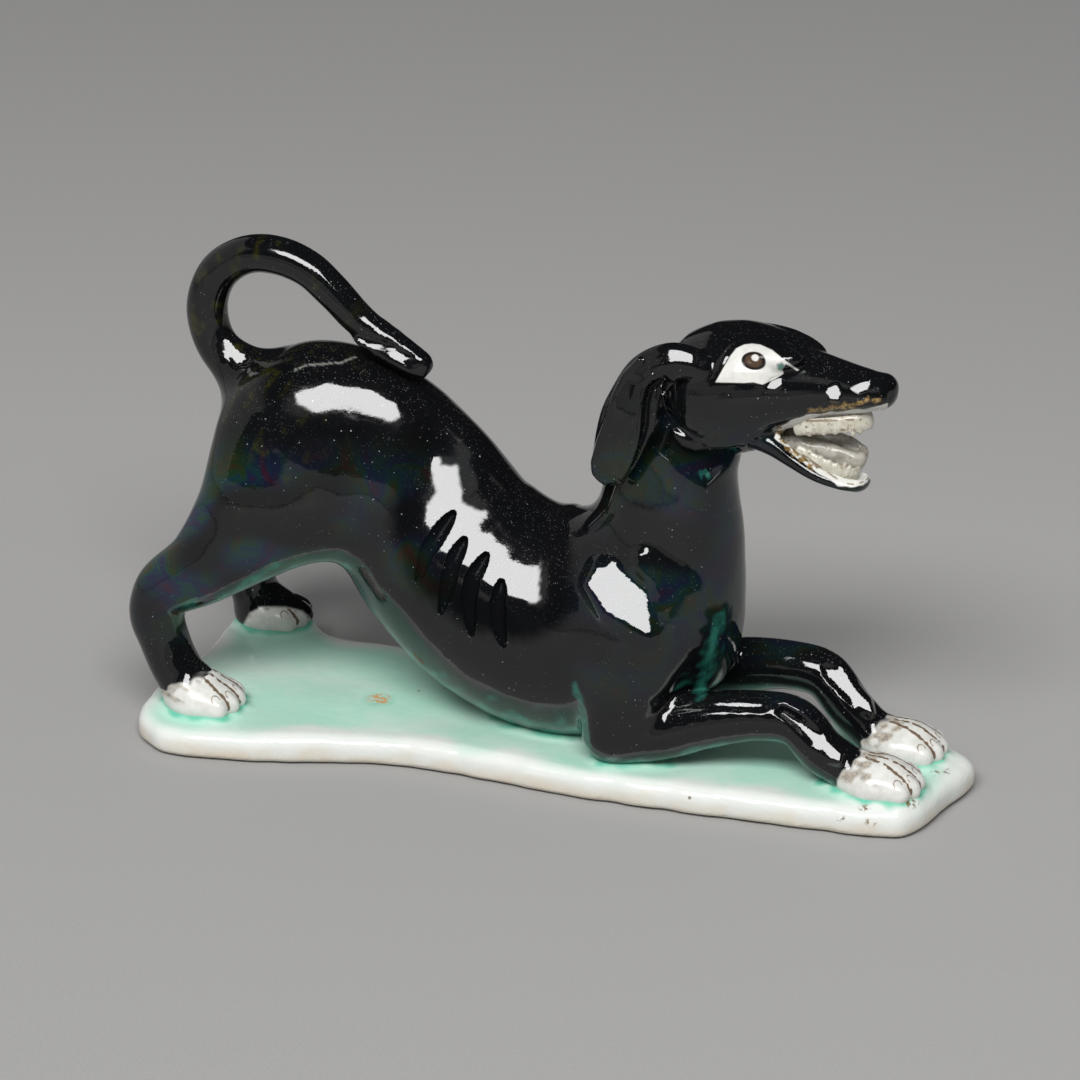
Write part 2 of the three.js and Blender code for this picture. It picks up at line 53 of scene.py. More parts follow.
# The picture's camera and lamp: degrees, millimetres, and pixels of a square picture
CAMERA_AZIMUTH, CAMERA_ELEVATION, CAMERA_DISTANCE = 20.5, 24.0, 650.0
CAMERA_TARGET = np.array([-4.05, 1.2, 31.8])
FOCAL_PIXELS, PICTURE = 4420.0, 1080
LAMP_AZIMUTH, LAMP_ELEVATION, LAMP_DISTANCE = 10.0, 49.0, 900.0
LAMP_TARGET = np.array([0, 0, 30.0])


# Placing

def turn(axis, degrees):
    """A rotation about the x, y or z axis."""
    c, s = math.cos(math.radians(degrees)), math.sin(math.radians(degrees))
    a, b = {"x": (1, 2), "y": (2, 0), "z": (0, 1)}[axis]
    rows = np.eye(3)
    rows[a, a], rows[a, b], rows[b, a], rows[b, b] = c, -s, s, c
    return rows


def view_axes(azimuth, elevation):
    """The directions right, forward and up of a view from so many degrees round and up."""
    return (turn("z", azimuth) @ turn("x", -elevation)).T


VIEW_RIGHT, VIEW_FORWARD, VIEW_UP = view_axes(CAMERA_AZIMUTH, CAMERA_ELEVATION)
VIEW_BACK = -VIEW_FORWARD
CAMERA_AT = CAMERA_TARGET + VIEW_BACK * CAMERA_DISTANCE
LAMP_AT = LAMP_TARGET - view_axes(LAMP_AZIMUTH, LAMP_ELEVATION)[1] * LAMP_DISTANCE
HEAD_TURN, HEAD_ROLL, JAW_DROP = -4, -6, 20
HEAD_AXES = turn("z", HEAD_TURN) @ turn("x", HEAD_ROLL)
HEAD_AT = np.array([21, 0, 52 + SLAB_TOP])
HEAD_SIDE = HEAD_AXES[:, 1]


def carried(rows, axes=HEAD_AXES, at=HEAD_AT):
    """Rows that start with a place in the head's frame, or in another, carried to the object's frame."""
    rows = np.atleast_2d(np.asarray(rows, float))
    return np.hstack([rows[:, :3] @ axes.T + at, rows[:, 3:]])


JAW_AXES = HEAD_AXES @ turn("y", JAW_DROP)
JAW_AT = carried((7, 0, -0.2))[0]


def on_slab(stations, side=1):
    """Stations (x, distance out, height above the slab, half depth, half width), put on one side."""
    rows = np.array([s if len(s) == 5 else (*s, s[3]) for s in stations], float)
    rows[:, 1] *= side
    rows[:, 2] += SLAB_TOP
    return rows


def head_local(points):
    return (points - HEAD_AT) @ HEAD_AXES


def mirrored_to_near(points):
    """Points of the head's left side, reflected in its median plane to the side that the picture shows."""
    local = head_local(points)
    local[:, 1] = -np.abs(local[:, 1])
    return carried(local)


def in_picture(points):
    """Pixel position of points in the picture, for drawing what it shows onto the skin."""
    rel = points - CAMERA_TARGET
    scale = FOCAL_PIXELS / (CAMERA_DISTANCE - rel @ VIEW_BACK)
    return np.stack([PICTURE / 2 + rel @ VIEW_RIGHT * scale, PICTURE / 2 - rel @ VIEW_UP * scale], axis=1)


# Small numeric tools

def smoothstep(low, high, x):
    t = np.clip((x - low) / (high - low), 0, 1)
    return t * t * (3 - 2 * t)


def unit(rows):
    return rows / np.maximum(np.linalg.norm(rows, axis=-1, keepdims=True), 1e-9)


def smooth_min(a, b, blend):
    meet = np.maximum(blend - np.abs(a - b), 0) / blend
    return np.minimum(a, b) - meet * meet * (blend / 4)


def waves(points, wavelength, seed, count=18):
    """A smooth uneven pattern between about -1 and 1, from plane waves in random directions."""
    rng = np.random.default_rng(seed)
    directions = unit(rng.normal(size=(count, 3)))
    lengths = wavelength * rng.uniform(0.7, 1.5, count)
    phases = rng.uniform(0, 2 * math.pi, count)
    total = np.zeros(len(points))
    for direction, length, phase in zip(directions, lengths, phases):
        total += np.sin(points @ direction * (2 * math.pi / length) + phase)
    return total / math.sqrt(count)


def line_distance(points, line):
    """Distance of points from a polyline, and how far along it the nearest place lies, from 0 to 1."""
    line = np.asarray(line, float)
    steps = np.linalg.norm(np.diff(line, axis=0), axis=1)
    starts = np.concatenate([[0], np.cumsum(steps)])
    best = np.full(len(points), 1e9)
    share = np.zeros(len(points))
    for a, b, start, step in zip(line[:-1], line[1:], starts, steps):
        t = np.clip((points - a) @ (b - a) / step ** 2, 0, 1)
        gap = np.linalg.norm(points - a - t[:, None] * (b - a), axis=1)
        closer = gap < best
        best[closer] = gap[closer]
        share[closer] = (start + t[closer] * step) / starts[-1]
    return best, share


def ridge(points, line, width, rise):
    """A rise along a line, falling smoothly to 0 on both sides."""
    return rise * np.exp(-(line_distance(points, line)[0] / width) ** 2)


def oval(points, at, size):
    """Distance of 2-D points from a place, counted in the half axes of an oval."""
    return np.hypot(*((points - at) / size).T)


def outline_distance(points, corners):
    """Signed distance of 2-D points from a closed outline, negative inside."""
    corners = np.asarray(corners, float)
    inside = np.zeros(len(points), bool)
    for a, b in zip(corners, np.roll(corners, -1, axis=0)):
        crosses = (a[1] > points[:, 1]) != (b[1] > points[:, 1])
        at = a[0] + (points[:, 1] - a[1]) * (b[0] - a[0]) / (b[1] - a[1] if b[1] != a[1] else 1)
        inside ^= crosses & (points[:, 0] < at)
    gap, _ = line_distance(points, np.vstack([corners, corners[:1]]))
    return np.where(inside, -gap, gap)


# Lofted forms

def spline(values, steps, centripetal):
    """A smooth line through rows of values, sampled at evenly spaced shares."""
    values = np.asarray(values, float)
    rows = np.vstack([2 * values[0] - values[1], values, 2 * values[-1] - values[-2]])
    place = np.linspace(0, len(values) - 1, steps)
    index = np.minimum(place.astype(int), len(values) - 2)
    w = (place - index)[:, None]
    p0, p1, p2, p3 = (rows[index + k] for k in range(4))
    if centripetal:
        d0, d1, d2 = (np.maximum(np.sum((b - a) ** 2, axis=1) ** 0.25, 1e-3)[:, None]
                      for a, b in ((p0, p1), (p1, p2), (p2, p3)))
        m1 = ((p1 - p0) / d0 - (p2 - p0) / (d0 + d1) + (p2 - p1) / d1) * d1
        m2 = ((p2 - p1) / d1 - (p3 - p1) / (d1 + d2) + (p3 - p2) / d2) * d1
    else:
        m1, m2 = (p2 - p0) / 2, (p3 - p1) / 2
    w2, w3 = w * w, w * w * w
    return (2 * w3 - 3 * w2 + 1) * p1 + (w3 - 2 * w2 + w) * m1 + (3 * w2 - 2 * w3) * p2 + (w3 - w2) * m2


def loft(stations, side=(0, 1, 0), start=1.0, end=1.0, rings=90, sides=56, dome_rings=9):
    """A closed skin through elliptical sections along a line, with domed ends: (points, quads, triangles)."""
    stations, side = np.asarray(stations, float), np.asarray(side, float)
    centre = spline(stations[:, :3], rings, True)
    size = spline(stations[:, 3:5], rings, False)
    along = unit(np.gradient(centre, axis=0))
    across = unit(side - along * (along @ side)[:, None])
    up = np.cross(along, across)
    k = np.arange(1, dome_rings) / dome_rings
    share = np.sqrt(1 - k * k)
    index = np.pad(np.arange(rings), dome_rings - 1, mode="edge")
    shift = np.concatenate([-start * k[::-1], np.zeros(rings), end * k])
    scale = np.concatenate([share[::-1], np.ones(rings), share])
    angle = np.linspace(0, 2 * math.pi, sides, endpoint=False)[:, None]
    middle = centre[index] + along[index] * shift[:, None]
    width = ((size[index, 1] * scale)[:, None] * across[index])[:, None] * np.cos(angle)
    depth = ((size[index, 0] * scale)[:, None] * up[index])[:, None] * np.sin(angle)
    rows = len(index)
    points = np.vstack([
        (middle[:, None] + width + depth).reshape(-1, 3),
        centre[0] - along[0] * start, centre[-1] + along[-1] * end])
    i = np.arange(rows - 1)[:, None] * sides
    j = np.arange(sides)
    n = (j + 1) % sides
    quads = np.stack([i + j, i + n, i + sides + n, i + sides + j], axis=2).reshape(-1, 4)
    first = np.stack([n, j, np.full(sides, rows * sides)], axis=1)
    last = (rows - 1) * sides
    second = np.stack([last + j, last + n, np.full(sides, rows * sides + 1)], axis=1)
    return points, quads, np.vstack([first, second])


def ellipsoid(centre, radii, axes=np.eye(3)):
    """A distance function for an ellipsoid, with its box: (function, low, high)."""
    def distance_to(x, y, z):
        local = [(x - centre[0]) * a[0] + (y - centre[1]) * a[1] + (z - centre[2]) * a[2] for a in axes.T]
        near = np.sqrt(sum((v / r) ** 2 for v, r in zip(local, radii)))
        slope = np.sqrt(sum((v / r ** 2) ** 2 for v, r in zip(local, radii)))
        return near * (near - 1) / np.maximum(slope, 1e-6)
    return distance_to, centre - max(radii), centre + max(radii)


class Field:
    """Signed distances in millimetres on a regular grid, negative inside, with the owner of each place."""

    def __init__(self, low, high, voxel, band):
        self.voxel, self.band = voxel, band
        self.low = np.floor(np.asarray(low, float) / voxel).astype(int)
        self.size = np.ceil(np.asarray(high, float) / voxel).astype(int) - self.low + 1
        self.values = np.full(self.size, band, np.float32)
        self.nearest = self.values.copy()
        self.owner = np.zeros(self.size, np.uint8)

    def places(self, first, shape):
        """The x, y and z of a block of the grid, as arrays that spread over one another."""
        axes = [(np.arange(n) + f) * self.voxel for n, f in zip(shape, first)]
        return np.meshgrid(*axes, indexing="ij", sparse=True)

    def found(self, form):
        """The block of the grid round a form, the block's x and the form's distances, or nothing."""
        by_function = callable(form[0])
        low, high = form[1:] if by_function else (form[0].min(axis=0), form[0].max(axis=0))
        first = np.maximum(np.floor((low - self.band) / self.voxel).astype(int), self.low)
        last = np.minimum(np.ceil((high + self.band) / self.voxel).astype(int) + 1, self.low + self.size)
        if (last <= first).any():
            return None
        block = tuple(slice(a, b) for a, b in zip(first - self.low, last - self.low))
        x, y, z = self.places(first, last - first)
        if by_function:
            return block, x, form[0](x, y, z).astype(np.float32)
        points, quads, triangles = form
        grid = openvdb.FloatGrid.createLevelSetFromPolygons(
            points.astype(np.float32), triangles=triangles.astype(np.uint32), quads=quads.astype(np.uint32),
            transform=openvdb.createLinearTransform(voxelSize=self.voxel), halfWidth=self.band / self.voxel)
        distances = np.empty(last - first, np.float32)
        grid.copyToArray(distances, ijk=tuple(int(v) for v in first))
        return block, x, distances

    def add(self, form, blend, owner=0):
        """Melts a form in; the blend is a length or changes with x."""
        found = self.found(form)
        if found is None:
            return
        block, x, distances = found
        self.values[block] = smooth_min(self.values[block], distances, blend(x) if callable(blend) else blend)
        closer = distances < self.nearest[block]
        self.nearest[block] = np.where(closer, distances, self.nearest[block])
        self.owner[block] = np.where(closer, np.uint8(owner), self.owner[block])

    def carve(self, form, blend):
        """Cuts a form out."""
        found = self.found(form)
        if found is not None:
            block, _, distances = found
            self.values[block] = -smooth_min(-self.values[block], distances, blend)

    def blur(self):
        for axis in range(3):
            v = np.moveaxis(self.values, axis, 0)
            v[1:-1] = 0.25 * v[:-2] + 0.5 * v[1:-1] + 0.25 * v[2:]

    def sample(self, points, values=None):
        """Distances, or other values of the grid, at points between its places."""
        at = np.clip(points / self.voxel - self.low, 0, self.size - 1.001)
        base = at.astype(int)
        far = (at - base).astype(np.float32)
        sides = 1 - far, far
        strides = np.array([self.size[1] * self.size[2], self.size[2], 1])
        index = base @ strides
        flat = (self.values if values is None else values).reshape(-1)
        total = np.zeros(len(points), np.float32)
        for i, j, k in np.ndindex(2, 2, 2):
            weight = sides[i][:, 0] * sides[j][:, 1] * sides[k][:, 2]
            total += weight * flat[index + strides @ (i, j, k)]
        return total

    def owners(self, points):
        at = np.clip(np.rint(points / self.voxel - self.low).astype(int), 0, self.size - 1)
        return self.owner[at[:, 0], at[:, 1], at[:, 2]]

    def start_from(self, other):
        """Takes over another grid's distances and owners."""
        rows = np.stack(np.broadcast_arrays(*self.places(self.low, self.size)), axis=3).reshape(-1, 3)
        self.values = np.clip(other.sample(rows), -self.band, self.band).reshape(self.size)
        self.nearest = np.clip(other.sample(rows, other.nearest), -self.band, self.band).reshape(self.size)
        self.owner = other.owners(rows).reshape(self.size)

    def cover(self, points):
        """1 well inside the grid's box, falling to 0 near its border."""
        low, high = self.low * self.voxel, (self.low + self.size - 1) * self.voxel
        return np.clip(np.minimum(points - low, high - points).min(axis=1) - 0.3, 0, 1)


# The skin's grids: one for the whole figure, finer windows for the head and the paws

PAWS = {
    "right_hind_paw": np.array([-51.1, -15.9, SLAB_TOP]), "left_hind_paw": np.array([-53.5, 15.3, SLAB_TOP]),
    "right_fore_paw": np.array([51.5, -6.9, SLAB_TOP]), "left_fore_paw": np.array([51.5, 5.4, SLAB_TOP])}
PIECES = [
    "body", "neck", "tail", "head", "lower_jaw", "right_ear", "left_ear", "right_hind_leg", "left_hind_leg",
    "right_foreleg", "left_foreleg", *PAWS]
VOXEL, WINDOW_VOXEL = ((0.4, 0.2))
BAND, WINDOW_BAND = 8.0, 3.2
skin = Field((-66, -24, 2), (60.5, 24, 76), VOXEL, BAND)
windows = []


def add(name, form, blend):
    for field in (skin, *windows):
        field.add(form, blend, PIECES.index(name))


def carve(form, blend):
    for field in (skin, *windows):
        field.carve(form, blend)


# How far each form melts into those before it, in millimetres
MELT = {
    "body": 0.1, "hind_leg": 7.0, "neck": 5.0, "upper_arm": 2.4, "forearm": 1.6, "tail_edge": 0.5, "pad": 1.8,
    "toe": 0.9, "nose": 1.6, "brow": 1.6, "lower_jaw": 0.8, "jaw_trough": 0.3, "ear": 0.7, "sole": 0.05}

# Body, hind legs, neck, forelegs and tail, by their stations on the slab

BODY = [
    (-47.1, 0, 40, 8.6, 7.4), (-39.1, 0, 40.4, 13.8, 11), (-31.1, 0, 37.5, 14.9, 12.2),
    (-24, 0, 32.4, 14.8, 12.2), (-17, 0, 23.6, 15.8, 13.4), (-8.3, 0, 17.5, 16.95, 14.2),
    (1.1, 0, 15.7, 17.7, 14.6), (11.8, 0, 18.3, 16, 13.7), (19.9, 0, 20.7, 12.2, 11.6)]
THIGH = [
    (-37.8, 7.6, 38, 14, 7.4), (-41.4, 10.3, 33.4, 12, 7), (-46.2, 12, 27.6, 8.6, 6), (-51.5, 14, 22.2, 6, 5),
    (-57.9, 15, 17.2, 4.5, 4.2), (-58.8, 15.3, 13.6, 4.2, 4), (-57.9, 15.3, 10, 3.8, 3.8)]
NECK = [
    (12.8, 0, 18.1, 11.4, 11), (15, 0, 24.6, 12.1, 10.8), (16.2, 0, 31.1, 11.4, 10),
    (16.85, 0, 38.8, 10.05, 9.2), (18.2, 0, 44.7, 8.5, 8), (20.4, 0, 50.5, 7.6, 7.6)]
UPPER_ARM = [
    (15.7, 7.8, 27.7, 7.2, 5.2), (14.6, 10.2, 18.7, 7.9, 5.4), (13, 10.8, 10.5, 6.5, 5.1),
    (12.1, 10.7, 4.5, 4.9, 4.8)]
WRIST_HEIGHT = {"right": 9, "left": 10.3}
TAIL = [
    (-44.1, 0, 43.6, 4.1), (-50.1, 0, 47.6, 3.43), (-54.8, 0, 51.9, 3.1), (-56.1, 0, 57.7, 3.1),
    (-54.1, 0, 63.1, 2.99), (-49.5, 0, 66.5, 2.88), (-44.5, 0, 67, 2.83), (-39.8, 0, 65.6, 2.77),
    (-35.7, 0, 62.4, 2.66), (-31.5, 0, 58.5, 2.44), (-26.7, 0, 55.7, 2.22), (-22.2, 0, 53.2, 1.8)]
TAIL_EDGE = [
    (-31.6, 1.3, 56, 0.5, 0.6), (-29, 1.7, 55, 0.8, 1), (-25.9, 1.8, 53.9, 0.8, 1),
    (-23.4, 1.6, 52.8, 0.8, 1), (-21.8, 0.9, 51.9, 0.7, 0.8)]

add("body", loft(on_slab(BODY), start=5, end=6, rings=140, sides=96), MELT["body"])
for name, side in SIDES.items():
    paw_x, paw_out, _ = np.abs(PAWS[f"{name}_hind_paw"]) * (-1, 1, 1)
    shank = [(paw_x / 2 - 30, paw_out - 0.2, 5.3, 3.7, 3.8), (paw_x - 1.4, paw_out, 2.2, 3.5, 3.5)]
    add(f"{name}_hind_leg", loft(on_slab(THIGH + shank, side), start=9), MELT["hind_leg"])
add("neck", loft(on_slab(NECK), start=2, end=2), MELT["neck"])
for name, side in SIDES.items():
    wrist, paw_out = WRIST_HEIGHT[name], abs(PAWS[f"{name}_fore_paw"][1])
    forearm = [
        (11.7, 10.6, 4.3, 4.9, 4.7), (18.5, 9.5, wrist - 4, 4.45, 4.3), (25.8, 8.5, wrist - 1.5, 4.15, 4.1),
        (33, 7.6, wrist, 3.7, 3.7), (38.3, 7, wrist - 0.4, 3.6, 3.6),
        (42.6, 0.3 + paw_out, wrist - 4.2, 3.4, 3.5), (46.9, paw_out, 2.2, 3.2, 3.3)]
    add(f"{name}_foreleg", loft(on_slab(UPPER_ARM, side), start=3, end=4), MELT["upper_arm"])
    add(f"{name}_foreleg", loft(on_slab(forearm, side), start=4), MELT["forearm"])
add("tail", loft(on_slab(TAIL), rings=160, sides=40, end=2.0), lambda x: 0.9 + 4.6 * smoothstep(-39, -46, x))
for side in SIDES.values():
    add("tail", loft(on_slab(TAIL_EDGE, side), rings=50, sides=24), MELT["tail_edge"])

windows.append(Field((8, -14.5, 43), (53, 14.5, 75.5), WINDOW_VOXEL, WINDOW_BAND))
for paw in PAWS.values():
    windows.append(Field(paw + (-8, -7, -1), paw + (8, 7, 8), WINDOW_VOXEL, WINDOW_BAND))
for window in windows:
    window.start_from(skin)

# Paws: a pad and four toes each

PAD_AT, PAD_SIZE = (-0.7, 0, 1.4), (5.5, 5.2, 3.8)
TOE_SIZE, TOE_PAINT_SIZE = (2.6, 1.7, 2.1), (2.7, 1.7, 2.4)
TOE_ANGLES = np.radians([-50, -16.7, 16.7, 50])
TOE_FAN_AT, TOE_FAN, TOE_HEIGHT, TOE_TURN = 0.4, (3.2, 3.7), 1.3, 0.35
TOES = np.array([
    (TOE_FAN_AT + TOE_FAN[0] * math.cos(a), TOE_FAN[1] * math.sin(a), TOE_HEIGHT) for a in TOE_ANGLES])
TOE_LINE_FROM, TOE_LINE_TO = (-2.2, 1.5), (5.6, 4.9)
CLAW_AHEAD, CLAW_RADIUS = 1.2, 0.6
for name, paw in PAWS.items():
    add(name, ellipsoid(paw + PAD_AT, PAD_SIZE), MELT["pad"])
    for toe, angle in zip(TOES, TOE_ANGLES):
        add(name, ellipsoid(paw + toe, TOE_SIZE, turn("z", TOE_TURN * math.degrees(angle))), MELT["toe"])

# Head: skull and muzzle as (x, top, bottom, half width), nose, brows, open jaw by its stations

SKULL = [
    (-3.6, 8.4, -3.6, 5.8), (-0.5, 11.5, -5.4, 7.9), (3.5, 13.4, -5.6, 8.9), (7.5, 14.3, -4, 9),
    (11, 13.7, -2, 8.2), (14.5, 12.2, 0, 6.6), (18, 11.2, 1.9, 5.1), (21.6, 10.5, 3, 4.4),
    (25, 9.9, 3.9, 4.1), (26.8, 9.3, 4.7, 3.4)]
NOSE_AT, NOSE_SIZE = (27, 0, 7.4), (1.9, 2.6, 2)
BROW_LUMPS, BROW_LUMP_SIZE = [((12.4, -4.5, 11.1), 0), ((12.7, 4.4, 10.7), 14)], (4, 2.3, 1.5)
JAW = [
    (0, 0, 0, 3.2, 6.2), (5.55, 0, 0.1, 2.5, 5.4), (9.4, 0, -0.5, 1.9, 4.8), (13.3, 0, -0.9, 1.6, 4.2),
    (17, 0, -0.5, 1.3, 3.5), (18.5, 0, -0.1, 1.2, 3)]
JAW_TROUGH = [
    (6.66, 0, 1.9, 2.2, 3.6), (10, 0, 1.1, 1.9, 3.2), (13.7, 0, 0.6, 1.6, 2.8), (17, 0, 0.9, 1.3, 2.2),
    (18.1, 0, 1.1, 1.1, 1.8)]
skull = [(x, 0, (top + bottom) / 2, (top - bottom) / 2, width) for x, top, bottom, width in SKULL]
add("head", loft(carried(skull), HEAD_SIDE, start=2.2, end=1.9, rings=110),
    lambda x: 0.8 + 3.4 * smoothstep(18, 13, x))
add("head", ellipsoid(carried(NOSE_AT)[0], NOSE_SIZE, HEAD_AXES), MELT["nose"])
for at, lean in BROW_LUMPS:
    add("head", ellipsoid(carried(at)[0], BROW_LUMP_SIZE, HEAD_AXES @ turn("y", lean)), MELT["brow"])
add("lower_jaw", loft(carried(JAW, JAW_AXES, JAW_AT), HEAD_SIDE, start=1.5, end=1.5), MELT["lower_jaw"])
carve(loft(carried(JAW_TROUGH, JAW_AXES, JAW_AT), HEAD_SIDE, start=0.8, end=0.9), MELT["jaw_trough"])

# Ears: a broad flap each, rolled with the skull at first and then hung straight down

EAR_LENGTH, EAR_OUT, HUNG_OUT, HUNG_RISE = 19, 9, 1, 0.9
EAR_TOP = {"right": 8.9, "left": 6.5}

# The flap's stations: 0 rolled or 1 hung, x, distance out, share of the length, half depth, half width
EAR = [
    (0, 2.8, -2.2, 0.02, 2.2, 1.9), (0, -1.2, -0.5, -0.01, 2.8, 1.7), (0, -4.6, 0.3, 0.12, 3.4, 1.4),
    (1, -6.9, 0.3, 0.42, 4, 1.3), (1, -8.9, 0, 0.72, 3.6, 1.3), (1, -10.1, -0.3, 0.93, 2.6, 1.2)]
for name, side in SIDES.items():
    flap = []
    for hung, x, out, hang, depth, width in EAR:
        away = EAR_OUT + HUNG_OUT * hung + out
        place = (x, side * away, EAR_TOP[name] + HUNG_RISE * hung - hang * EAR_LENGTH)
        flap.append(carried((*place, depth, width), turn("z", HEAD_TURN) if hung else HEAD_AXES)[0])
    add(f"{name}_ear", loft(flap, HEAD_SIDE, end=1.6), MELT["ear"])

# The feet are cut level just under the slab's top
skin.blur()
FOOT_CUT = SLAB_TOP - 0.05
UNDER_FEET = np.array([-70, -30, -10]), np.array([70, 30, SLAB_TOP + 1])
carve((lambda x, y, z: z - FOOT_CUT, *UNDER_FEET), MELT["sole"])


def distance(points):
    value = skin.sample(points)
    for window in windows:
        weight = window.cover(points)
        some = weight > 0
        if some.any():
            value[some] += weight[some] * (window.sample(points[some]) - value[some])
    return value


def slope(points, step=0.12):
    rows = np.empty((len(points), 3))
    for axis, offset in enumerate(step * np.eye(3)):
        rows[:, axis] = (distance(points + offset) - distance(points - offset)) / (2 * step)
    return rows


def settle(points, rounds=2):
    """Moves points onto the surface where the distance is zero."""
    for _ in range(rounds):
        rows = slope(points)
        scale = distance(points) / np.maximum(np.sum(rows * rows, axis=1), 0.2)
        points = points - rows * np.clip(scale, -0.5, 0.5)[:, None]
    return points


# Meshing

def surface_of(field):
    grid = openvdb.FloatGrid(float(field.band))
    grid.copyFromArray(np.clip(field.values, -field.band, field.band), ijk=tuple(int(v) for v in field.low))
    grid.transform = openvdb.createLinearTransform(voxelSize=field.voxel)
    points, quads = grid.convertToQuads(0.0)
    points, quads = points.astype(float), quads.astype(np.int64)
    a, b, c, d = (points[quads[:, k]] for k in range(4))
    short = np.linalg.norm(a - c, axis=1) < np.linalg.norm(b - d, axis=1)
    first = np.where(short[:, None], quads[:, [0, 1, 2]], quads[:, [0, 1, 3]])
    second = np.where(short[:, None], quads[:, [0, 2, 3]], quads[:, [1, 2, 3]])
    triangles = np.vstack([first, second])
    a, b, c = (points[triangles[:, k]] for k in range(3))
    volume = np.sum(a * np.cross(b, c))
    return points, triangles if volume > 0 else triangles[:, ::-1]


def refine(points, triangles, wanted):
    """Halves the edges of the wanted triangles, and divides their neighbours to match."""
    edges = np.sort(triangles[:, [[0, 1], [1, 2], [2, 0]]], axis=2)
    keys = edges[..., 0] * len(points) + edges[..., 1]
    split = np.unique(keys[wanted])
    place = np.minimum(np.searchsorted(split, keys), len(split) - 1)
    halved = split[place] == keys
    middle = len(points) + place
    a, b = np.divmod(split, len(points))
    points = np.vstack([points, (points[a] + points[b]) / 2])
    count = halved.sum(axis=1)
    t, m = triangles[count == 3].T, middle[count == 3].T
    corners = [triangles[count == 0].T, (t[0], m[0], m[2]), (m[0], t[1], m[1]), (m[2], m[1], t[2]), m]
    for lead in range(3):
        order = [(lead + k) % 3 for k in range(3)]
        one = (count == 1) & halved[:, lead]
        t, m = triangles[one][:, order].T, middle[one][:, lead]
        corners += [(t[0], m, t[2]), (m, t[1], t[2])]
        two = (count == 2) & ~halved[:, order[2]]
        t, m = triangles[two][:, order].T, middle[two][:, order].T
        corners += [(m[0], t[1], m[1]), (t[0], m[0], m[1]), (t[0], m[1], t[2])]
    return points, np.vstack([np.stack(row, axis=1) for row in corners])


def vertex_normals(points, triangles):
    a, b, c = (points[triangles[:, k]] for k in range(3))
    facing = np.cross(b - a, c - a)
    corners = triangles.reshape(-1)
    sums = [np.bincount(corners, np.repeat(facing[:, k], 3), len(points)) for k in range(3)]
    return unit(np.stack(sums, axis=1))


# What the picture shows on the skin: outlines and lines in its pixels

RIBS = [
    [(452.5, 514), (440.2, 531.4), (427, 551.9), (417.5, 580)],
    [(464, 540), (453.4, 560.7), (447.5, 584.2), (440.5, 612)],
    [(486, 555.5), (472.4, 578.3), (468, 601.8), (471.5, 634)],
    [(501, 582.5), (497.4, 604.7), (498.2, 625.2), (503.5, 645)]]
RIB_HALF_WIDTH, RIB_MARGIN, FINE_RIB_MARGIN = 8.8, 22, 13
EYE = [
    (715.4, 382.3), (730.5, 356), (736.2, 348.8), (744.2, 345), (752, 344), (760.3, 345), (772.3, 350.1),
    (783, 358.8), (791, 364.5), (799.1, 370), (797, 370.8), (786, 363.8), (782, 368.5), (783.5, 373.5),
    (776, 378.5), (762.5, 384.6), (753.6, 382.3), (744.2, 382.9), (730, 382.6)]
SOCKET = [
    (715, 382.5), (721, 372), (730, 355.5), (737, 347.5), (748, 343.5), (761, 344.5), (773, 350), (787, 361),
    (792, 368), (784, 376), (764, 384.5), (744, 384)]
PUPIL_AT, PUPIL_SIZE = (754.2, 361.5), (11.6, 8.4)
# Where a white dot is painted on the pupil as a painted highlight
PAINTED_GLINT_AT, PAINTED_GLINT_SIZE = (756.5, 358), (1.176, 1)
EYE_CORNER = (781, 366)
BROW = [
    (719, 368), (725, 357), (733, 346), (746.9, 338), (764.3, 339.5), (780.4, 346.5),
    (793.7, 355), (802, 364)]
BROW_WIDTH = 3.2
MOUTH = [
    (775, 438), (780.4, 427), (791, 420.4), (805.8, 414.4), (834, 412.5), (874, 407), (887.5, 404),
    (894, 425), (882, 440), (878, 468), (872, 478), (863, 485), (850, 487.5), (838, 485.5), (822, 476),
    (790, 452)]
GUM_LINES = [
    [(807, 421), (861, 419.5)], [(806, 427), (820.5, 429.5), (845, 430)],
    [(803, 455.3), (834, 476.7), (844.6, 483.4), (856.7, 484.7), (870, 478)],
    [(818, 452), (831.2, 456.6), (844.6, 464.6), (858, 462), (866, 456.6)]]
GOLD_LINES = [
    ([(811, 411), (855, 404.5), (879, 399)], 3.0),
    ([(781, 434), (788, 443), (797, 452), (808, 460), (817, 465)], 5.2),
    ([(860, 468), (867, 466), (873, 462)], 5)]
FAR_PAW = [(242, 627), (250, 613), (262, 607), (285, 607), (303, 611), (312, 620), (312, 640), (242, 640)]
SCRATCH = [(295, 370), (306.8, 364.8), (323, 364.2), (340.5, 362.8), (355.2, 357)]
RECESS = [
    (673.7, 436), (682, 446.2), (694.6, 450.5), (719.7, 447), (738, 444.5), (742, 449), (736, 456),
    (730, 467), (715.5, 479.5), (707.2, 486), (694.6, 480.7), (677.9, 470.3), (668.5, 459.8), (659, 452.4),
    (664, 440), (668, 424), (671, 424)]
RECESS_FRONT = 745, 718
MUZZLE = [(784, 374), (812, 372), (835, 377), (886, 390), (886, 397), (850, 393), (815, 390), (784, 386)]
# Spots in the jaw's recess where green is painted on as painted reflections
PAINTED_GREEN_GLINTS = [((738, 452.5), (15, 4.5)), ((707, 478), (9, 8)), ((659, 451), (3, 5))]
GREEN_LINES = [
    ([(575, 684), (580, 702), (584, 722), (586, 746)], 8),
    ([(700, 692), (706, 670), (714, 645), (720, 618)], 15)]

